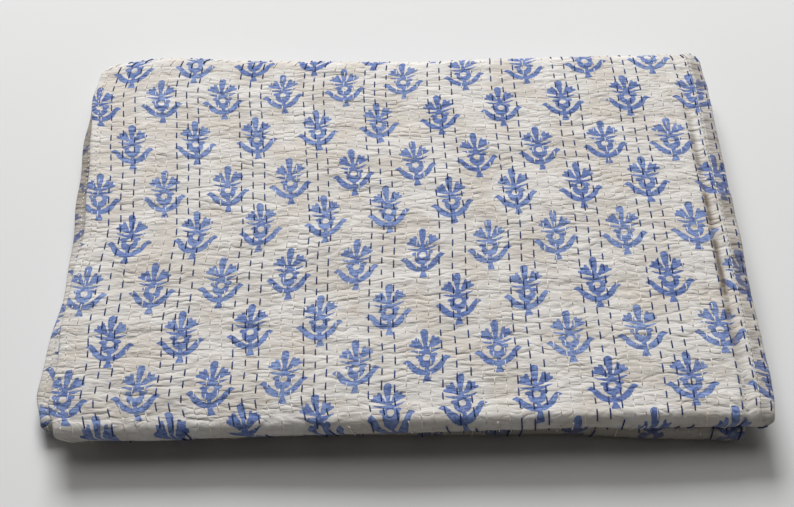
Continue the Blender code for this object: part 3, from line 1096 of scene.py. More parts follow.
@dataclass(frozen=True)
class PrintLayout:
    """Where the block was set down: rows that slope and bend a little, every other one half a step on.

    The terms of bend_across and bend_up weren't chosen by hand. A separate program solved them from places of
    flowers, which were read by eye in the photo, and the pitches and slopes started from such a fit too.
    """

    pitch: float = 64.1
    row_pitch: float = 57.3
    row_slope: float = 0.128
    column_lean: float = 0.0226
    first_c: float = 330.0
    first_s: float = 200.0
    reach_c: float = 300.0
    reach_s: float = 250.0
    below: float = -30.0
    above: float = 36.0
    lower_aside: float = 32.0
    lower_from: float = 0.80
    lower_fade: float = 0.1
    held_across: tuple[float, float] = (-1.15, 1.10)
    held_up: tuple[float, float] = (-1.05, 0.90)
    bend_across: tuple[float, ...] = (59.1, -5.4, -2.0, 9.4, -2.1, -5.2, 7.7, -0.5, 4.4, -2.2)
    bend_up: tuple[float, ...] = (31.2, 11.4, 3.7, -4.5, -0.6, -4.8, -18.5, 0.9, -2.6, -9.0)

    def place(self, c: np.ndarray, s: np.ndarray, odd: int) -> tuple[np.ndarray, np.ndarray]:
        """A place of the sheet as a place in the even grid of prints.

        Args:
            c: Metres across the sheet.
            s: Metres along the sheet.
            odd: 0 for the rows with even numbers, 1 for those between.

        Returns:
            Millimetres to the right and millimetres up in the grid.
        """
        across, away = c * 1000 - self.first_c, self.first_s - s * 1000
        u = np.clip(across / self.reach_c, *self.held_across)
        v = np.clip(away / self.reach_s, *self.held_up)
        terms = np.stack([np.ones_like(u), u, v, u * u, u * v, v * v, u**3, u * u * v, u * v * v, v**3])
        later = self.lower_aside * smooth(self.lower_from, self.lower_from + self.lower_fade, s)
        x = across + away * self.column_lean - np.tensordot(self.bend_across, terms, 1) - later
        y = away - across * self.row_slope - np.tensordot(self.bend_up, terms, 1)
        up, up_slope, aside, aside_slope = self._off_place(y, odd)
        return x - aside - aside_slope * u, y - up - up_slope * u

    def _off_place(self, y: np.ndarray, odd: int) -> list[np.ndarray]:
        """The four columns of the table of rows at a height, steady over each flower of one kind of row."""
        rows = [r for r in PRINTED_ROWS if int(r.row) % 2 == odd]
        places = [r.row * self.row_pitch + reach for r in rows for reach in (self.below, self.above)]
        columns = zip(*[(r.up, r.up_slope, r.aside, r.aside_slope) for r in rows for _ in range(2)])
        return [smooth_table(y, places, list(column)) for column in columns]


@dataclass(frozen=True)
class FlowerBlock:
    """The printing block: a small upright flower in millimetres, measured from the bare dot in its cup."""

    edge: float = 0.35
    petal_foot: float = 9.0
    petal_top: float = 28.2
    petal_half: tuple[float, float] = (1.4, 3.5)
    fan_lean: float = math.radians(43)
    fan_root: tuple[float, float] = (2.4, 9.8)
    fan_spread: float = 0.42
    fan_reach: float = 13.4
    tooth_height: float = 2.3
    thin_leaf_height: float = 6.3
    thin_leaf_reach: float = 14.2
    thin_leaf_half: float = 2.1
    neck_half: float = 2.9
    neck_middle: float = 8.0
    cup_drop: float = 2.6
    cup_radius: float = 8.3
    shoulder_radius: float = 2.2
    dot_radius: float = 3.3
    stem_foot: float = -26.2
    stem_top: float = -7.0
    long_leaf_bottom: float = -16.3
    long_leaf_tip_height: float = -2.4
    long_leaf_reach: float = 21.6

    def cell(
        self, layout: PrintLayout, x: Signal, y: Signal, odd: int
    ) -> tuple[Signal, Signal, Signal, Signal]:
        """Where a place of the even grid lies in its own print, among every other row.

        Args:
            layout: The grid of prints.
            x: Millimetres to the right.
            y: Millimetres up.
            odd: 0 for the rows with even numbers, 1 for those between, which stand half a step aside.

        Returns:
            X and Y from the middle of the nearest print, and the print's column and row numbers.
        """
        step = layout.row_pitch * 2
        x, y = x - odd * layout.pitch / 2, y - odd * layout.row_pitch
        row = (y / step + 0.5).floor()
        column = (x / layout.pitch + 0.5).floor()
        return x - column * layout.pitch, y - row * step, column, row * 2.0 + float(odd)

    def inked(self, x: Signal, y: Signal) -> Signal:
        """How far outside the flower's parts a place lies, in millimetres, below nought inside.

        Args:
            x: Millimetres to the right of the print's middle.
            y: Millimetres above it.

        Returns:
            A distance-like signal.
        """
        side = abs(x)
        shapes = [
            self._top_petal(x, y),
            self._side_petal(side, y),
            self._thin_leaf(side, y),
            self._neck(side, y),
            self._boss(x, side, y),
            self._stem(side, y),
            self._long_leaf(side, y),
        ]
        joined = shapes[0]
        for shape in shapes[1:]:
            joined = joined.at_most(shape)
        return joined

    def _top_petal(self, x: Signal, y: Signal) -> Signal:
        """A club that widens to its round top."""
        along = y.at_least(self.petal_foot).at_most(self.petal_top)
        return length_of(x + 0.3, y - along) - along.ramp(self.petal_foot, 27.0, *self.petal_half)

    def _side_petal(self, side: Signal, y: Signal) -> Signal:
        """A fan that leans outwards and ends in three teeth."""
        lean = self.fan_lean
        dx, dy = side - self.fan_root[0], y - self.fan_root[1]
        along = dx * math.sin(lean) + dy * math.cos(lean)
        aside = dx * math.cos(lean) - dy * math.sin(lean)
        fan = abs(aside) - (0.8 + along * self.fan_spread)
        tip = (aside + 3 * self.tooth_height).zigzag(self.tooth_height) + self.fan_reach - abs(aside) * 0.3
        return fan.at_least(along - tip).at_least(0.4 - along)

    def _thin_leaf(self, side: Signal, y: Signal) -> Signal:
        """A slim crescent that curls out from above the cup."""
        middle = self.thin_leaf_height + side * side * 0.0165
        half = (1.0 - side / self.thin_leaf_reach).at_least(0.0).root() * self.thin_leaf_half
        return abs(y - middle) - half

    def _neck(self, side: Signal, y: Signal) -> Signal:
        """The short neck between the cup and the petals."""
        from_middle = abs(y - self.neck_middle)
        return (side - self.neck_half + from_middle * 0.15).at_least(from_middle - 4.6)

    def _boss(self, x: Signal, side: Signal, y: Signal) -> Signal:
        """A round cup with two small shoulders and a bare dot in its middle."""
        cup = length_of(x * 1.07, y + self.cup_drop) - self.cup_radius
        shoulder = length_of((side - 7.0) / 1.35, y - 2.2) - self.shoulder_radius
        notch = 1.5 - length_of(side - 10.2, y + 0.9)
        hole = self.dot_radius - length_of(x, y)
        return cup.at_most(shoulder).at_least(notch).at_least(hole)

    def _stem(self, side: Signal, y: Signal) -> Signal:
        """A short stem with a flared foot."""
        half = y.ramp(-26.0, -18.5, 3.7, 1.9)
        return (side - half).at_least(y - self.stem_top).at_least(self.stem_foot - y)

    def _long_leaf(self, side: Signal, y: Signal) -> Signal:
        """A long leaf that sweeps out from the stem and up, and flattens at its tip."""
        bowl = side * side * 0.046 + self.long_leaf_bottom
        middle = bowl.joined(self.long_leaf_tip_height, 3.0)
        half = (2.3 + side * 0.19).joined((21.9 - side) * 0.70, 1.5)
        return (abs(y - middle) - half).at_least(side - self.long_leaf_reach) * 0.7


@dataclass(frozen=True)
class PrintedCotton:
    """The cloth's finish: unbleached puckered cotton under a watery blue block print, with painted shade in
    its groove and folds and a painted highlight along the seam.
    """

    layout: PrintLayout
    block: FlowerBlock
    cloth: tuple[float, float, float, float] = linear(211, 205, 197)
    cloth_warm: tuple[float, float, float, float] = linear(197, 187, 175)
    cloth_light: tuple[float, float, float, float] = linear(222, 219, 215)
    # A painted shade colour, mixed into the cloth where shade falls.
    cloth_painted_shade: tuple[float, float, float, float] = linear(104, 90, 72)
    ink_light: tuple[float, float, float, float] = linear(126, 149, 199)
    ink: tuple[float, float, float, float] = linear(92, 118, 179)
    ink_dark: tuple[float, float, float, float] = linear(58, 80, 138)
    ripple_length_mm: float = 7.2
    painted_shade_stop_mm: float = 16.0
    # A painted highlight along the ridge beside the seam: its half width in rows, where it fades along the
    # sheet and its strength.
    seam_half: float = 0.10
    seam_ends_mm: tuple[float, float] = (455.0, 470.0)
    seam_painted_highlight: float = 0.8
    seam_height: float = 0.8
    # Painted shade beyond the seam and in the groove: where it starts past the seam, how dark, and the
    # groove's half width in rows.
    beyond_seam: tuple[float, float] = (0.06, 0.20)
    beyond_seam_shade_share: float = 0.55
    groove_half: float = 0.44
    stray_mm: float = 1.6
    bump_height: float = 0.0013
    roughness: float = 0.93
    specular: float = 0.15
    sheen: float = 0.10
    sheen_roughness: float = 0.5

    def material(self) -> bpy.types.Material:
        """Builds the material.

        Returns:
            The printed cotton.
        """
        made = bpy.data.materials.new("printed_cotton")
        made.use_nodes = True
        graph = NodeGraph(made.node_tree)
        shader = made.node_tree.nodes["Principled BSDF"]
        c, s, _ = graph.parts(graph.signal("ShaderNodeUVMap", {"uv_map": UV_NAME}))
        c_mm, s_mm = c * 1000.0, s * 1000.0
        printed = [
            graph.parts(graph.signal("ShaderNodeAttribute", {"attribute_name": name}, None, "Vector"))
            for name in (PRINT_NAME, BETWEEN_NAME)
        ]
        phase = graph.signal("ShaderNodeAttribute", {"attribute_name": ROW_NAME}, None, "Fac")
        colour = self._colour(graph, c_mm, s_mm, printed)
        # Painted shade: the cloth's colour is darkened towards brown where shade falls.
        colour = graph.mixed(self._painted_shade(graph, s_mm, phase), colour, self.cloth_painted_shade)
        # A painted highlight along the ridge beside the seam; the same mask raises that ridge in the bump.
        seam = abs(phase - SEAM_ROW).ramp(0.0, self.seam_half, 1.0, 0.0)
        seam = seam * s_mm.ramp(*self.seam_ends_mm, 1.0, 0.0)
        colour = graph.mixed(seam * self.seam_painted_highlight, colour, self.cloth_light)
        bump = self._bump(graph, c_mm, s_mm, phase, seam)
        made.node_tree.links.new(colour.socket, shader.inputs["Base Color"])
        made.node_tree.links.new(bump.socket, shader.inputs["Normal"])
        shader.inputs["Roughness"].default_value = self.roughness
        shader.inputs["Specular IOR Level"].default_value = self.specular
        shader.inputs["Sheen Weight"].default_value = self.sheen
        shader.inputs["Sheen Roughness"].default_value = self.sheen_roughness
        return made

    def _painted_shade(self, graph: NodeGraph, s_mm: Signal, phase: Signal) -> Signal:
        """How much painted shade darkens the cloth's colour: in the pinched groove, beyond the seam, under
        the front folds and where it is overhung.

        Args:
            graph: The material's graph.
            s_mm: Millimetres along.
            phase: A whole number on each row of stitches.

        Returns:
            A share of the painted shade colour.
        """
        uneven = graph.noise(graph.vector(s_mm * 0.9, phase), 0.06, 2.0).ramp(0.35, 0.65, 0.35, 0.90)
        # Painted shade in the pinched groove, patchy along its length.
        groove = abs(phase - GROOVE_ROW).ramp(0.0, self.groove_half, 1.0, 0.0) * uneven
        groove = groove * s_mm.ramp(60.0, 190.0) * s_mm.ramp(330.0, 430.0, 1.0, 0.6)
        # Painted shade on the band turned over beyond the seam.
        near, far = self.beyond_seam
        beyond = phase.ramp(SEAM_ROW + near, SEAM_ROW + far) * phase.ramp(59.5, 62.0, 1.0, 0.0)
        dim = groove.at_least(beyond * uneven * self.beyond_seam_shade_share)
        # Painted shade under the front folds and on the overhung third pass.
        for stretch in PAINTED_SHADE_STRETCHES:
            grown = s_mm.ramp(stretch.start, stretch.full)
            faded = s_mm.ramp(stretch.hold, stretch.end, stretch.share, stretch.after)
            stopped = s_mm.ramp(stretch.until, stretch.until + self.painted_shade_stop_mm, 1.0, 0.0)
            dim = dim.at_least(grown * faded * stopped)
        return dim

    def _colour(
        self, graph: NodeGraph, c_mm: Signal, s_mm: Signal, printed: list[tuple[Signal, ...]]
    ) -> Signal:
        """The cloth's colour with the print on it.

        Args:
            graph: The material's graph.
            c_mm: Millimetres across.
            s_mm: Millimetres along.
            printed: The place in the grid of prints, for the rows with even numbers and for those between.

        Returns:
            The colour.
        """
        patches = graph.noise(graph.vector(c_mm, s_mm), 0.022, 3.0)
        cloth = graph.mixed(patches.ramp(0.35, 0.62), self.cloth, self.cloth_light)
        slubs = graph.noise(graph.vector(c_mm * 0.05, s_mm * 0.55), 1.0, 3.0, 0.6)
        cloth = graph.mixed(slubs.ramp(0.50, 0.72) * 0.5, cloth, self.cloth_warm)
        ragged_x = (graph.noise(graph.vector(c_mm, s_mm), 0.42, 2.0) - 0.5) * 1.5
        ragged_y = (graph.noise(graph.vector(c_mm + 71.0, s_mm + 13.0), 0.42, 2.0) - 0.5) * 1.5
        (x, y, _), (other_x, other_y, _) = printed
        outside, chance_tone = self._printed(graph, x + ragged_x, y + ragged_y, 0)
        between, other_tone = self._printed(graph, other_x + ragged_x, other_y + ragged_y, 1)
        chance_tone = chance_tone + (other_tone - chance_tone) * outside.above(between)
        outside = outside.at_most(between)
        covered = outside.ramp(-self.block.edge, self.block.edge, 1.0, 0.0)
        blotch = graph.noise(graph.vector(c_mm, s_mm), 0.10, 3.0, 0.6)
        tone = blotch * 1.6 - 0.30 + (chance_tone - 0.5) * 0.6 + outside.ramp(-1.3, -0.3) * 0.35
        dark = graph.noise(graph.vector(c_mm + 31.0, s_mm * 1.8), 0.20, 2.0).ramp(0.48, 0.68)
        ink = graph.mixed(tone.ramp(0.15, 0.85), self.ink_light, self.ink)
        ink = graph.mixed(dark * 0.75, ink, self.ink_dark)
        bare = graph.noise(graph.vector(c_mm * 0.6, s_mm * 1.7), 0.75, 2.0).ramp(0.64, 0.76) * 0.6
        return graph.mixed(covered * (1.0 - bare) * 0.95, cloth, ink)

    def _printed(self, graph: NodeGraph, x: Signal, y: Signal, odd: int) -> tuple[Signal, Signal]:
        """The flowers of every other row, each a little off its place and inked a little differently.

        Args:
            graph: The material's graph.
            x: Millimetres to the right in the grid of prints.
            y: Millimetres up in it.
            odd: 0 or 1, for which rows.

        Returns:
            How far outside the nearest flower a place lies, and that flower's own chance value.
        """
        in_x, in_y, column, row = self.block.cell(self.layout, x, y, odd)
        settings = {"noise_dimensions": "2D"}
        spot = {"Vector": graph.vector(column, row)}
        chance = graph.signal("ShaderNodeTexWhiteNoise", settings, spot, "Color")
        chance_x, chance_y, tone = graph.parts(chance)
        own_x, own_y = (chance_x - 0.5) * self.stray_mm, (chance_y - 0.5) * self.stray_mm
        return self.block.inked(in_x + own_x, in_y + own_y), tone

    def _bump(
        self, graph: NodeGraph, c_mm: Signal, s_mm: Signal, phase: Signal, seam: Signal
    ) -> Signal:
        """The puckers that the stitches draw up, finer crumples and the weave's grain.

        Args:
            graph: The material's graph.
            c_mm: Millimetres across.
            s_mm: Millimetres along.
            phase: A whole number on each row of stitches.
            seam: 1 along the ridge beside the last rows, which also gets a painted highlight.

        Returns:
            The bumped normal.
        """
        gap = phase.floor()
        settings = {"noise_dimensions": "1D"}
        own = graph.signal("ShaderNodeTexWhiteNoise", settings, {"W": gap}, "Value")
        sway = graph.noise(graph.vector(c_mm * 0.017, s_mm * 0.022), 1.0, 1.0, 0.4) * 3.0
        sway = sway + graph.noise(graph.vector(c_mm * 0.060 + 40.0, s_mm * 0.030), 1.0, 1.0) * 0.9
        wave = (s_mm / self.ripple_length_mm + sway + own * 0.80) * math.pi
        puff = abs(wave.sine()) ** 0.6
        strength = graph.noise(graph.vector(c_mm * 0.035 + 7.0, s_mm * 0.05), 1.0, 2.0).ramp(0.42, 0.68)
        arched = (phase + 0.5).zigzag(0.5).ramp(0.5, 0.12)
        broad = self._creases(graph, c_mm * 0.019, s_mm * 0.066)
        fine = self._creases(graph, c_mm * 0.045 + 20.0, s_mm * 0.150 + own * 0.5)
        crumple = graph.noise(graph.vector(c_mm * 0.026, s_mm * 0.085), 1.0, 2.0, 0.45)
        weave = (c_mm * 9.0).sine() * (s_mm * 9.0).sine()
        height = puff * strength * 0.60 + arched * 0.18 + weave * 0.010 + seam * self.seam_height
        height = height + broad * 0.36 + fine * 0.14 + crumple * 1.2
        inputs = {"Strength": 1.0, "Distance": self.bump_height, "Height": height}
        return graph.signal("ShaderNodeBump", None, inputs, "Normal")

    def _creases(self, graph: NodeGraph, across: Signal, along: Signal) -> Signal:
        """Soft cushions with thin wandering creases between them, from 0 in a crease to 1."""
        return abs(graph.noise(graph.vector(across, along), 1.0, 2.0, 0.45) - 0.5).ramp(0.0, 0.11)


@dataclass(frozen=True)
class ThreadFinish:
    """A cotton sewing thread."""

    name: str
    colour: tuple[float, float, float, float]
    shade: tuple[float, float, float, float]
    roughness: float = 0.8

    def material(self) -> bpy.types.Material:
        """Builds the thread's material, lighter and darker along its length.

        Returns:
            The material.
        """
        made = bpy.data.materials.new(self.name)
        made.use_nodes = True
        graph = NodeGraph(made.node_tree)
        shader = made.node_tree.nodes["Principled BSDF"]
        place = graph.signal("ShaderNodeTexCoord", None, None, "Object")
        inputs = {"Vector": place, "Scale": 160.0, "Detail": 2.0}
        worn = graph.signal("ShaderNodeTexNoise", None, inputs, 0)
        colour = graph.mixed(worn.ramp(0.38, 0.64), self.colour, self.shade)
        made.node_tree.links.new(colour.socket, shader.inputs["Base Color"])
        twist = graph.signal("ShaderNodeTexNoise", None, {"Vector": place, "Scale": 1400.0, "Detail": 1.0}, 0)
        inputs = {"Strength": 0.5, "Distance": 0.0003, "Height": twist}
        bump = graph.signal("ShaderNodeBump", None, inputs, "Normal")
        made.node_tree.links.new(bump.socket, shader.inputs["Normal"])
        shader.inputs["Roughness"].default_value = self.roughness
        return made


@dataclass(frozen=True)
class StitchRun:
    """A patch of stitch rows in sheet coordinates: where it starts, and its steps along and aside."""

    first: tuple[float, float]
    stitch_step: tuple[float, float]
    stitches: int
    row_step: tuple[float, float]
    rows: int
    rows_in_group: int
    group_step: tuple[float, float]
    length: float
    thread: float
    jitter: float
    seed: int


@dataclass
class StitchMaker:
    """Lays threads on the cloth with a node tree that reads the cloth's own coordinates."""

    cloth: bpy.types.Object
    lift: float = 0.00025
    arch: float = 0.00045
    dip: float = 0.00050
    longest: float = 0.0135
    sizes: tuple[float, float] = (0.82, 1.15)
    wander: float = 0.25
    profile_sides: int = 5
    arch_steps: int = 5

    def tree(self) -> bpy.types.NodeTree:
        """Builds the node tree once.

        Returns:
            A tree whose named inputs size and place one patch of stitches.
        """
        tree = bpy.data.node_groups.new("stitches_on_cloth", "GeometryNodeTree")
        sockets = (
            ("Cloth", "NodeSocketObject"),
            ("Material", "NodeSocketMaterial"),
            ("First", "NodeSocketVector"),
            ("Stitch Step", "NodeSocketVector"),
            ("Stitches", "NodeSocketInt"),
            ("Row Step", "NodeSocketVector"),
            ("Rows", "NodeSocketInt"),
            ("Rows In Group", "NodeSocketInt"),
            ("Group Step", "NodeSocketVector"),
            ("Length", "NodeSocketFloat"),
            ("Thread Width", "NodeSocketFloat"),
            ("Jitter", "NodeSocketFloat"),
            ("Seed", "NodeSocketInt"),
        )
        for name, kind in sockets:
            tree.interface.new_socket(name, in_out="INPUT", socket_type=kind)
        tree.interface.new_socket("Stitches", in_out="OUTPUT", socket_type="NodeSocketGeometry")
        graph = NodeGraph(tree)
        group = graph.node("NodeGroupInput")
        given = {name: Signal(graph, group.outputs[name]) for name, _ in sockets}
        number = graph.signal("GeometryNodeInputIndex")
        row = (number / given["Stitches"]).floor()
        stitch = number - row * given["Stitches"]
        bunch = (row / given["Rows In Group"]).floor()
        in_bunch = row - bunch * given["Rows In Group"]
        spot = self._spot(graph, given, stitch, in_bunch, bunch, row, number)
        total = given["Stitches"] * given["Rows"]
        points = graph.signal("GeometryNodePoints", None, {"Count": total})
        size = self._chance(graph, given, number, Chance.SIZE, *self.sizes)
        reach = given["Length"] * size
        stitch_way = self._unit(graph, given["Stitch Step"])
        half_step = self._scaled(graph, stitch_way, reach * 0.5)
        start, start_valid = self._sampled(
            graph, given, self._combined(graph, "SUBTRACT", spot, half_step), "Position"
        )
        end_spot = self._combined(graph, "ADD", spot, half_step)
        end, end_valid = self._sampled(graph, given, end_spot, "Position")
        middle, valid = self._sampled(graph, given, spot, "Position")
        normal, _ = self._sampled(graph, given, spot, "Normal")
        direction = self._combined(graph, "SUBTRACT", end, start)
        turn = graph.signal(
            "FunctionNodeAxesToRotation",
            {"primary_axis": "Z", "secondary_axis": "X"},
            {0: normal, 1: direction},
        )
        raised = self._combined(graph, "ADD", middle, self._scaled(graph, normal, self.lift))
        placed = graph.signal("GeometryNodeSetPosition", None, {"Geometry": points, "Position": raised})
        pull = graph.signal("ShaderNodeVectorMath", {"operation": "LENGTH"}, {0: direction}, "Value")
        short = graph.signal("FunctionNodeCompare", {"operation": "LESS_THAN"}, {0: pull, 1: self.longest})
        ends_valid = self._both(graph, start_valid, end_valid)
        on_cloth = self._both(graph, ends_valid, self._both(graph, valid, short))
        stretch = graph.vector(pull, 1.0, 1.0)
        threads = graph.signal(
            "GeometryNodeInstanceOnPoints",
            None,
            {
                "Points": placed,
                "Selection": on_cloth,
                "Instance": self._one_stitch(graph, given),
                "Rotation": turn,
                "Scale": stretch,
            },
        )
        real = graph.signal("GeometryNodeRealizeInstances", None, {0: threads})
        smooth_threads = graph.signal("GeometryNodeSetShadeSmooth", None, {0: real})
        dressed = graph.signal(
            "GeometryNodeSetMaterial", None, {"Geometry": smooth_threads, "Material": given["Material"]}
        )
        graph.node("NodeGroupOutput", None, {0: dressed})
        return tree

    def _both(self, graph: NodeGraph, first: Signal, second: Signal) -> Signal:
        """Whether two things hold."""
        return graph.signal("FunctionNodeBooleanMath", {"operation": "AND"}, {0: first, 1: second})

    def _combined(self, graph: NodeGraph, operation: str, first: Any, second: Any) -> Signal:
        """Two vectors taken together."""
        return graph.signal("ShaderNodeVectorMath", {"operation": operation}, {0: first, 1: second})

    def _scaled(self, graph: NodeGraph, vector: Signal, by: Any) -> Signal:
        """A vector made longer or shorter."""
        return graph.signal("ShaderNodeVectorMath", {"operation": "SCALE"}, {0: vector, "Scale": by})

    def _unit(self, graph: NodeGraph, vector: Signal) -> Signal:
        """A vector's direction."""
        return graph.signal("ShaderNodeVectorMath", {"operation": "NORMALIZE"}, {0: vector})

    def _chance(
        self,
        graph: NodeGraph,
        given: dict[str, Signal],
        number: Signal,
        use: Chance,
        low: float = -0.5,
        high: float = 0.5,
    ) -> Signal:
        """A random value for each number, the same each time.

        Args:
            graph: The tree's graph.
            given: The tree's inputs.
            number: What the value belongs to.
            use: What the chance is for.
            low: The least value.
            high: The greatest value.

        Returns:
            The value.
        """
        inputs = {2: low, 3: high, "ID": number, "Seed": given["Seed"] + use.value}
        return graph.signal("FunctionNodeRandomValue", {"data_type": "FLOAT"}, inputs, 1)

    def _spot(
        self,
        graph: NodeGraph,
        given: dict[str, Signal],
        stitch: Signal,
        in_bunch: Signal,
        bunch: Signal,
        row: Signal,
        number: Signal,
    ) -> Signal:
        """Where each stitch's middle lies on the sheet.

        Args:
            graph: The tree's graph.
            given: The tree's inputs.
            stitch: The stitch's number in its row.
            in_bunch: The row's number in its group.
            bunch: The group's number.
            row: The row's number.
            number: The stitch's number in the whole patch.

        Returns:
            Sheet coordinates, as a vector.
        """
        drift = self._chance(graph, given, row, Chance.DRIFT)
        slip = self._chance(graph, given, number, Chance.SLIP) * given["Jitter"]
        along = self._scaled(graph, given["Stitch Step"], stitch + drift + slip)
        aside = self._scaled(graph, given["Row Step"], in_bunch)
        wander = self._chance(graph, given, number, Chance.WANDER) * given["Jitter"] * self.wander
        aside = self._combined(graph, "ADD", aside, self._scaled(graph, given["Row Step"], wander))
        bunches = self._scaled(graph, given["Group Step"], bunch)
        placed = self._combined(graph, "ADD", given["First"], along)
        return self._combined(graph, "ADD", self._combined(graph, "ADD", placed, aside), bunches)

    def _sampled(
        self, graph: NodeGraph, given: dict[str, Signal], spot: Signal, what: str
    ) -> tuple[Signal, Signal]:
        """Reads the cloth at sheet coordinates.

        Args:
            graph: The tree's graph.
            given: The tree's inputs.
            spot: Where to read.
            what: Position or Normal.

        Returns:
            The reading, and whether the spot is on the cloth.
        """
        cloth = graph.signal("GeometryNodeObjectInfo", None, {"Object": given["Cloth"]}, "Geometry")
        source = graph.signal(f"GeometryNodeInput{what}")
        kind = {"data_type": "FLOAT_VECTOR"}
        own = graph.signal("GeometryNodeInputNamedAttribute", kind, {"Name": UV_NAME})
        reader = graph.node(
            "GeometryNodeSampleUVSurface",
            {"data_type": "FLOAT_VECTOR"},
            {"Mesh": cloth, "Value": source, "Source UV Map": own, "Sample UV": spot},
        )
        return Signal(graph, reader.outputs["Value"]), Signal(graph, reader.outputs["Is Valid"])

    def _one_stitch(self, graph: NodeGraph, given: dict[str, Signal]) -> Signal:
        """One arched stitch of unit length, whose ends dip into the cloth."""
        inputs = {
            "Resolution": self.arch_steps,
            "Start": (-0.5, 0.0, -self.dip),
            "Middle": (0.0, 0.0, 2 * self.arch),
            "End": (0.5, 0.0, -self.dip),
        }
        line = graph.signal("GeometryNodeCurveQuadraticBezier", None, inputs)
        ring = graph.signal(
            "GeometryNodeCurvePrimitiveCircle",
            {"mode": "RADIUS"},
            {"Resolution": self.profile_sides, "Radius": given["Thread Width"] * 0.5},
        )
        return graph.signal(
            "GeometryNodeCurveToMesh", None, {"Curve": line, "Profile Curve": ring, "Fill Caps": True}
        )

    def sew(
        self, tree: bpy.types.NodeTree, name: str, runs: list[StitchRun], material: bpy.types.Material
    ) -> bpy.types.Object:
        """Makes one piece of sewing from several patches.

        Args:
            tree: The node tree.
            name: The piece's name.
            runs: The patches.
            material: The thread's finish.

        Returns:
            A plain mesh object.
        """
        meshes = [self._patch(tree, run, material) for run in runs]
        joined = bpy.data.meshes.new(name)
        vertices, faces = [], []
        for mesh in meshes:
            start = len(vertices)
            vertices += [v.co[:] for v in mesh.vertices]
            faces += [[start + v for v in p.vertices] for p in mesh.polygons]
            bpy.data.meshes.remove(mesh)
        joined.from_pydata(vertices, [], faces)
        joined.shade_smooth()
        joined.materials.append(material)
        piece = bpy.data.objects.new(name, joined)
        bpy.context.scene.collection.objects.link(piece)
        return piece

    def _patch(
        self, tree: bpy.types.NodeTree, run: StitchRun, material: bpy.types.Material
    ) -> bpy.types.Mesh:
        """Evaluates the tree for one patch.

        Args:
            tree: The node tree.
            run: The patch.
            material: The thread's finish.

        Returns:
            The patch as a plain mesh.
        """
        values = {
            "Cloth": self.cloth,
            "Material": material,
            "First": (*run.first, 0.0),
            "Stitch Step": (*run.stitch_step, 0.0),
            "Stitches": run.stitches,
            "Row Step": (*run.row_step, 0.0),
            "Rows": run.rows,
            "Rows In Group": run.rows_in_group,
            "Group Step": (*run.group_step, 0.0),
            "Length": run.length,
            "Thread Width": run.thread,
            "Jitter": run.jitter,
            "Seed": run.seed,
        }
        holder = bpy.data.objects.new("stitch_patch", bpy.data.meshes.new("stitch_patch"))
        bpy.context.scene.collection.objects.link(holder)
        modifier = holder.modifiers.new("stitches", "NODES")
        modifier.node_group = tree
        names = {item.name: item.identifier for item in tree.interface.items_tree if item.in_out == "INPUT"}
        for key, value in values.items():
            modifier[names[key]] = value
        bpy.context.view_layer.update()
        evaluated = holder.evaluated_get(bpy.context.evaluated_depsgraph_get())
        mesh = bpy.data.meshes.new_from_object(evaluated)
        old = holder.data
        bpy.data.objects.remove(holder)
        bpy.data.meshes.remove(old)
        return mesh


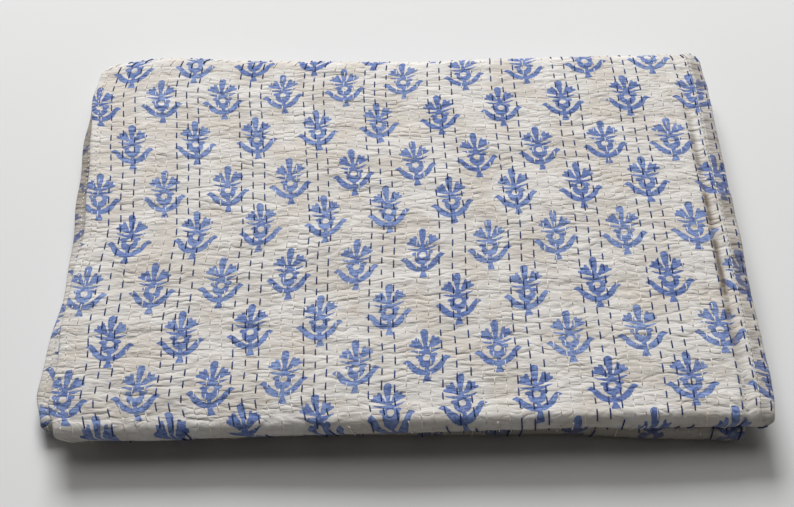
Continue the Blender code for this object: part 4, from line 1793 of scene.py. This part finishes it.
@dataclass
class Sewing:
    """All threads of the quilt, as patches where they show."""

    pack: FoldedPack
    quilting: Quilting
    hem_from_edge: float = 0.0055
    hem_pitch: float = 0.0062
    hem_stitch: float = 0.0036
    hem_thread: float = 0.0009
    navy_thread: float = 0.00140
    cream_thread: float = 0.00100
    jitter: float = 0.16
    hem_jitter: float = 0.22
    first_stitch: float = 0.004
    past_front: float = 0.016
    past_back: float = 0.014
    past_lower: float = 0.008
    beside_bend: float = 0.012
    before_fold: float = 0.010

    def _patch(
        self, places: list[float], start_s: float, end_s: float, seed: int, thread: float
    ) -> StitchRun:
        """Neighbouring rows of running stitches between two places along the sheet."""
        q = self.quilting
        step = (places[-1] - places[0]) / max(len(places) - 1, 1)
        lean = float(q.lean_at(np.array(places[0])))
        first = places[0] + lean * min(start_s - q.lean_about, q.lean_reach)
        lean = lean if start_s < q.lean_about else 0.0
        return StitchRun(
            first=(first, start_s),
            stitch_step=(lean * q.stitch_pitch, q.stitch_pitch),
            stitches=int((end_s - start_s) / q.stitch_pitch),
            row_step=(step, 0.0),
            rows=len(places),
            rows_in_group=len(places),
            group_step=(0.0, 0.0),
            length=q.stitch_length,
            thread=thread,
            jitter=self.jitter,
            seed=seed,
        )

    def running(self, thread: Thread) -> list[StitchRun]:
        """The patches of one running-stitch colour.

        Args:
            thread: Navy or cream.

        Returns:
            The patches: the top with its folds, the lower front fold, the back fold and the bends.
        """
        pack, q = self.pack, self.quilting
        groups = q.groups()
        if thread is Thread.NAVY:
            rows, wide = [q.navy(group) for group in groups[:-1]], self.navy_thread
        else:
            rows = [[q.first_cream]] + [q.cream(group, after) for group, after in zip(groups, groups[1:])]
            wide = self.cream_thread
        second, third, fourth = (pack.start_of(name) for name in ("pass_2", "pass_3", "pass_4"))
        runs = []
        for number, places in enumerate(rows):
            seed = 40 + 10 * number + (0 if thread is Thread.NAVY else 400)
            before_second_ply = places[0] < pack.width - pack.ply_run + self.beside_bend
            if before_second_ply:
                runs.append(self._patch(places, self.first_stitch, second + self.past_front, seed, wide))
                lower = pack.end_of("pass_3") - self.before_fold
                runs.append(self._patch(places, lower, fourth + self.past_lower, seed + 1, wide))
            else:
                behind = pack.end_of("pass_2") - self.before_fold
                runs.append(self._patch(places, behind, third + self.past_back, seed + 2, wide))
            if before_second_ply and pack.ply_run - self.beside_bend < places[-1]:
                last = pack.length - self.before_fold
                runs.append(self._patch(places, second + self.past_front, last, seed + 3, wide))
        return runs

    def hems(self) -> list[StitchRun]:
        """The small close stitches that hold the hems down.

        Returns:
            The patches: both long hems, the free end behind the top pass and the seam beside the bend.
        """
        pack, rows = self.pack, self.quilting.rows()
        along = int((pack.length - 0.02) / self.hem_pitch)
        beside_fold = int((pack.start_of("front_fold_12") - 0.01) / self.hem_pitch)
        across = int((pack.width / 2) / self.hem_pitch)
        plain = {"rows": 1, "rows_in_group": 1, "group_step": (0.0, 0.0), "jitter": self.hem_jitter}
        plain |= {"length": self.hem_stitch, "thread": self.hem_thread}
        up, aside = (0.0, self.hem_pitch), (self.hem_pitch, 0.0)
        left, right, end, seam = (
            (self.hem_from_edge, 0.01),
            (pack.width - self.hem_from_edge, 0.01),
            (0.01, self.hem_from_edge),
            (float(np.interp(SEAM_ROW, np.arange(len(rows)), rows)), 0.012),
        )
        return [
            StitchRun(left, up, along, (0.005, 0.0), seed=90, **plain),
            StitchRun(right, up, along, (0.005, 0.0), seed=91, **plain),
            StitchRun(end, aside, across, (0.0, 0.005), seed=92, **plain),
            StitchRun(seam, up, beside_fold, (0.005, 0.0), seed=93, **plain),
        ]


class Lamp(NamedTuple):
    """A square soft light: where it stands, its side in metres and its power in watts."""

    name: str
    place: tuple[float, float, float]
    size: float
    power: float


@dataclass
class Studio:
    """A plain pale floor, soft light and the camera, which was fitted to the quilt's outline in the photo."""

    camera_place: tuple[float, float, float] = (-0.0398, -0.9383, 1.2202)
    camera_down: float = math.radians(52.655)
    camera_aside: float = math.radians(-2.568)
    camera_roll: float = math.radians(1.135)
    focal_px: float = 1570.6
    image_width_px: int = 794
    sensor_mm: float = 36.0
    floor_colour: tuple[float, float, float, float] = (0.78, 0.78, 0.78, 1.0)
    floor_size: float = 14.0
    floor_drop: float = 0.0004
    floor_roughness: float = 0.9
    world_colour: tuple[float, float, float, float] = (1.0, 0.95, 0.88, 1.0)
    world_strength: float = 0.06
    lamps: tuple[Lamp, ...] = (
        Lamp("key", (-0.6, 4.1, 3.2), 2.4, 306.0),
        Lamp("fill", (0.4, 1.2, 3.6), 2.4, 34.0),
    )

    def floor(self) -> bpy.types.Object:
        """A wide plane just under the quilt."""
        half = self.floor_size / 2
        ends = ((-half, -half), (half, -half), (half, half), (-half, half))
        corners = [(x, y, -self.floor_drop) for x, y in ends]
        mesh = bpy.data.meshes.new("floor")
        mesh.from_pydata(corners, [], [(0, 1, 2, 3)])
        material = bpy.data.materials.new("pale_floor")
        material.use_nodes = True
        shader = material.node_tree.nodes["Principled BSDF"]
        shader.inputs["Base Color"].default_value = self.floor_colour
        shader.inputs["Roughness"].default_value = self.floor_roughness
        shader.inputs["Specular IOR Level"].default_value = 0.1
        mesh.materials.append(material)
        floor = bpy.data.objects.new("floor", mesh)
        bpy.context.scene.collection.objects.link(floor)
        return floor

    def camera(self) -> bpy.types.Object:
        """The camera, looking down at the quilt from its front."""
        data = bpy.data.cameras.new("camera")
        data.sensor_width = self.sensor_mm
        data.lens = self.sensor_mm * self.focal_px / self.image_width_px
        camera = bpy.data.objects.new("camera", data)
        tilt = Matrix.Rotation(math.pi / 2 - self.camera_down, 4, "X")
        pan = Matrix.Rotation(self.camera_aside, 4, "Z")
        roll = Matrix.Rotation(self.camera_roll, 4, "Z")
        camera.matrix_world = Matrix.Translation(self.camera_place) @ pan @ tilt @ roll
        bpy.context.scene.collection.objects.link(camera)
        bpy.context.scene.camera = camera
        return camera

    def light(self, lamp: Lamp) -> None:
        """Sets up one light, which looks at the quilt.

        Args:
            lamp: The light's name, place, size and power.
        """
        data = bpy.data.lights.new(lamp.name, "AREA")
        data.size = lamp.size
        data.energy = lamp.power
        light = bpy.data.objects.new(lamp.name, data)
        light.location = lamp.place
        light.rotation_mode = "QUATERNION"
        light.rotation_quaternion = (-Vector(lamp.place)).to_track_quat("-Z", "Y")
        bpy.context.scene.collection.objects.link(light)

    def world(self) -> None:
        """Even pale surroundings."""
        world = bpy.data.worlds.new("studio")
        world.use_nodes = True
        background = world.node_tree.nodes["Background"]
        background.inputs["Color"].default_value = self.world_colour
        background.inputs["Strength"].default_value = self.world_strength
        bpy.context.scene.world = world

    def set_up(self) -> bpy.types.Object:
        """Makes the whole studio.

        Returns:
            The floor.
        """
        self.world()
        for lamp in self.lamps:
            self.light(lamp)
        self.camera()
        bpy.context.scene.view_settings.view_transform = "Standard"
        return self.floor()


def main() -> None:
    """Builds the quilt, its sewing and the studio, and says what moves with what."""
    logging.basicConfig(level=logging.INFO, format="%(name)s: %(message)s")
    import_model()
    pack = FoldedPack().set_on(*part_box("quilt"))
    quilting = Quilting(pack.width)
    layout = PrintLayout()
    cloth = QuiltCloth(pack, quilting, layout).build()
    cloth.data.materials.append(PrintedCotton(layout, FlowerBlock()).material())
    log.info("%s: %d faces", cloth.name, len(cloth.data.polygons))

    sewing = Sewing(pack, quilting)
    maker = StitchMaker(cloth)
    tree = maker.tree()
    finishes = {
        Thread.NAVY: ThreadFinish("navy_thread", linear(30, 47, 96), linear(50, 72, 128)),
        Thread.CREAM: ThreadFinish("cream_thread", linear(236, 231, 222), linear(222, 214, 202)),
        Thread.HEM: ThreadFinish("hem_thread", linear(240, 238, 232), linear(228, 222, 210)),
    }
    patches = {thread: sewing.running(thread) for thread in (Thread.NAVY, Thread.CREAM)}
    patches[Thread.HEM] = sewing.hems()
    threads = []
    for thread, runs in patches.items():
        piece = maker.sew(tree, thread.value, runs, finishes[thread].material())
        log.info("%s: %d faces", piece.name, len(piece.data.polygons))
        threads.append(piece)

    for piece in (cloth, *threads):
        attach(piece, "root")
    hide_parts("quilt")

    floor = Studio().set_up()


if __name__ == "__main__":
    main()
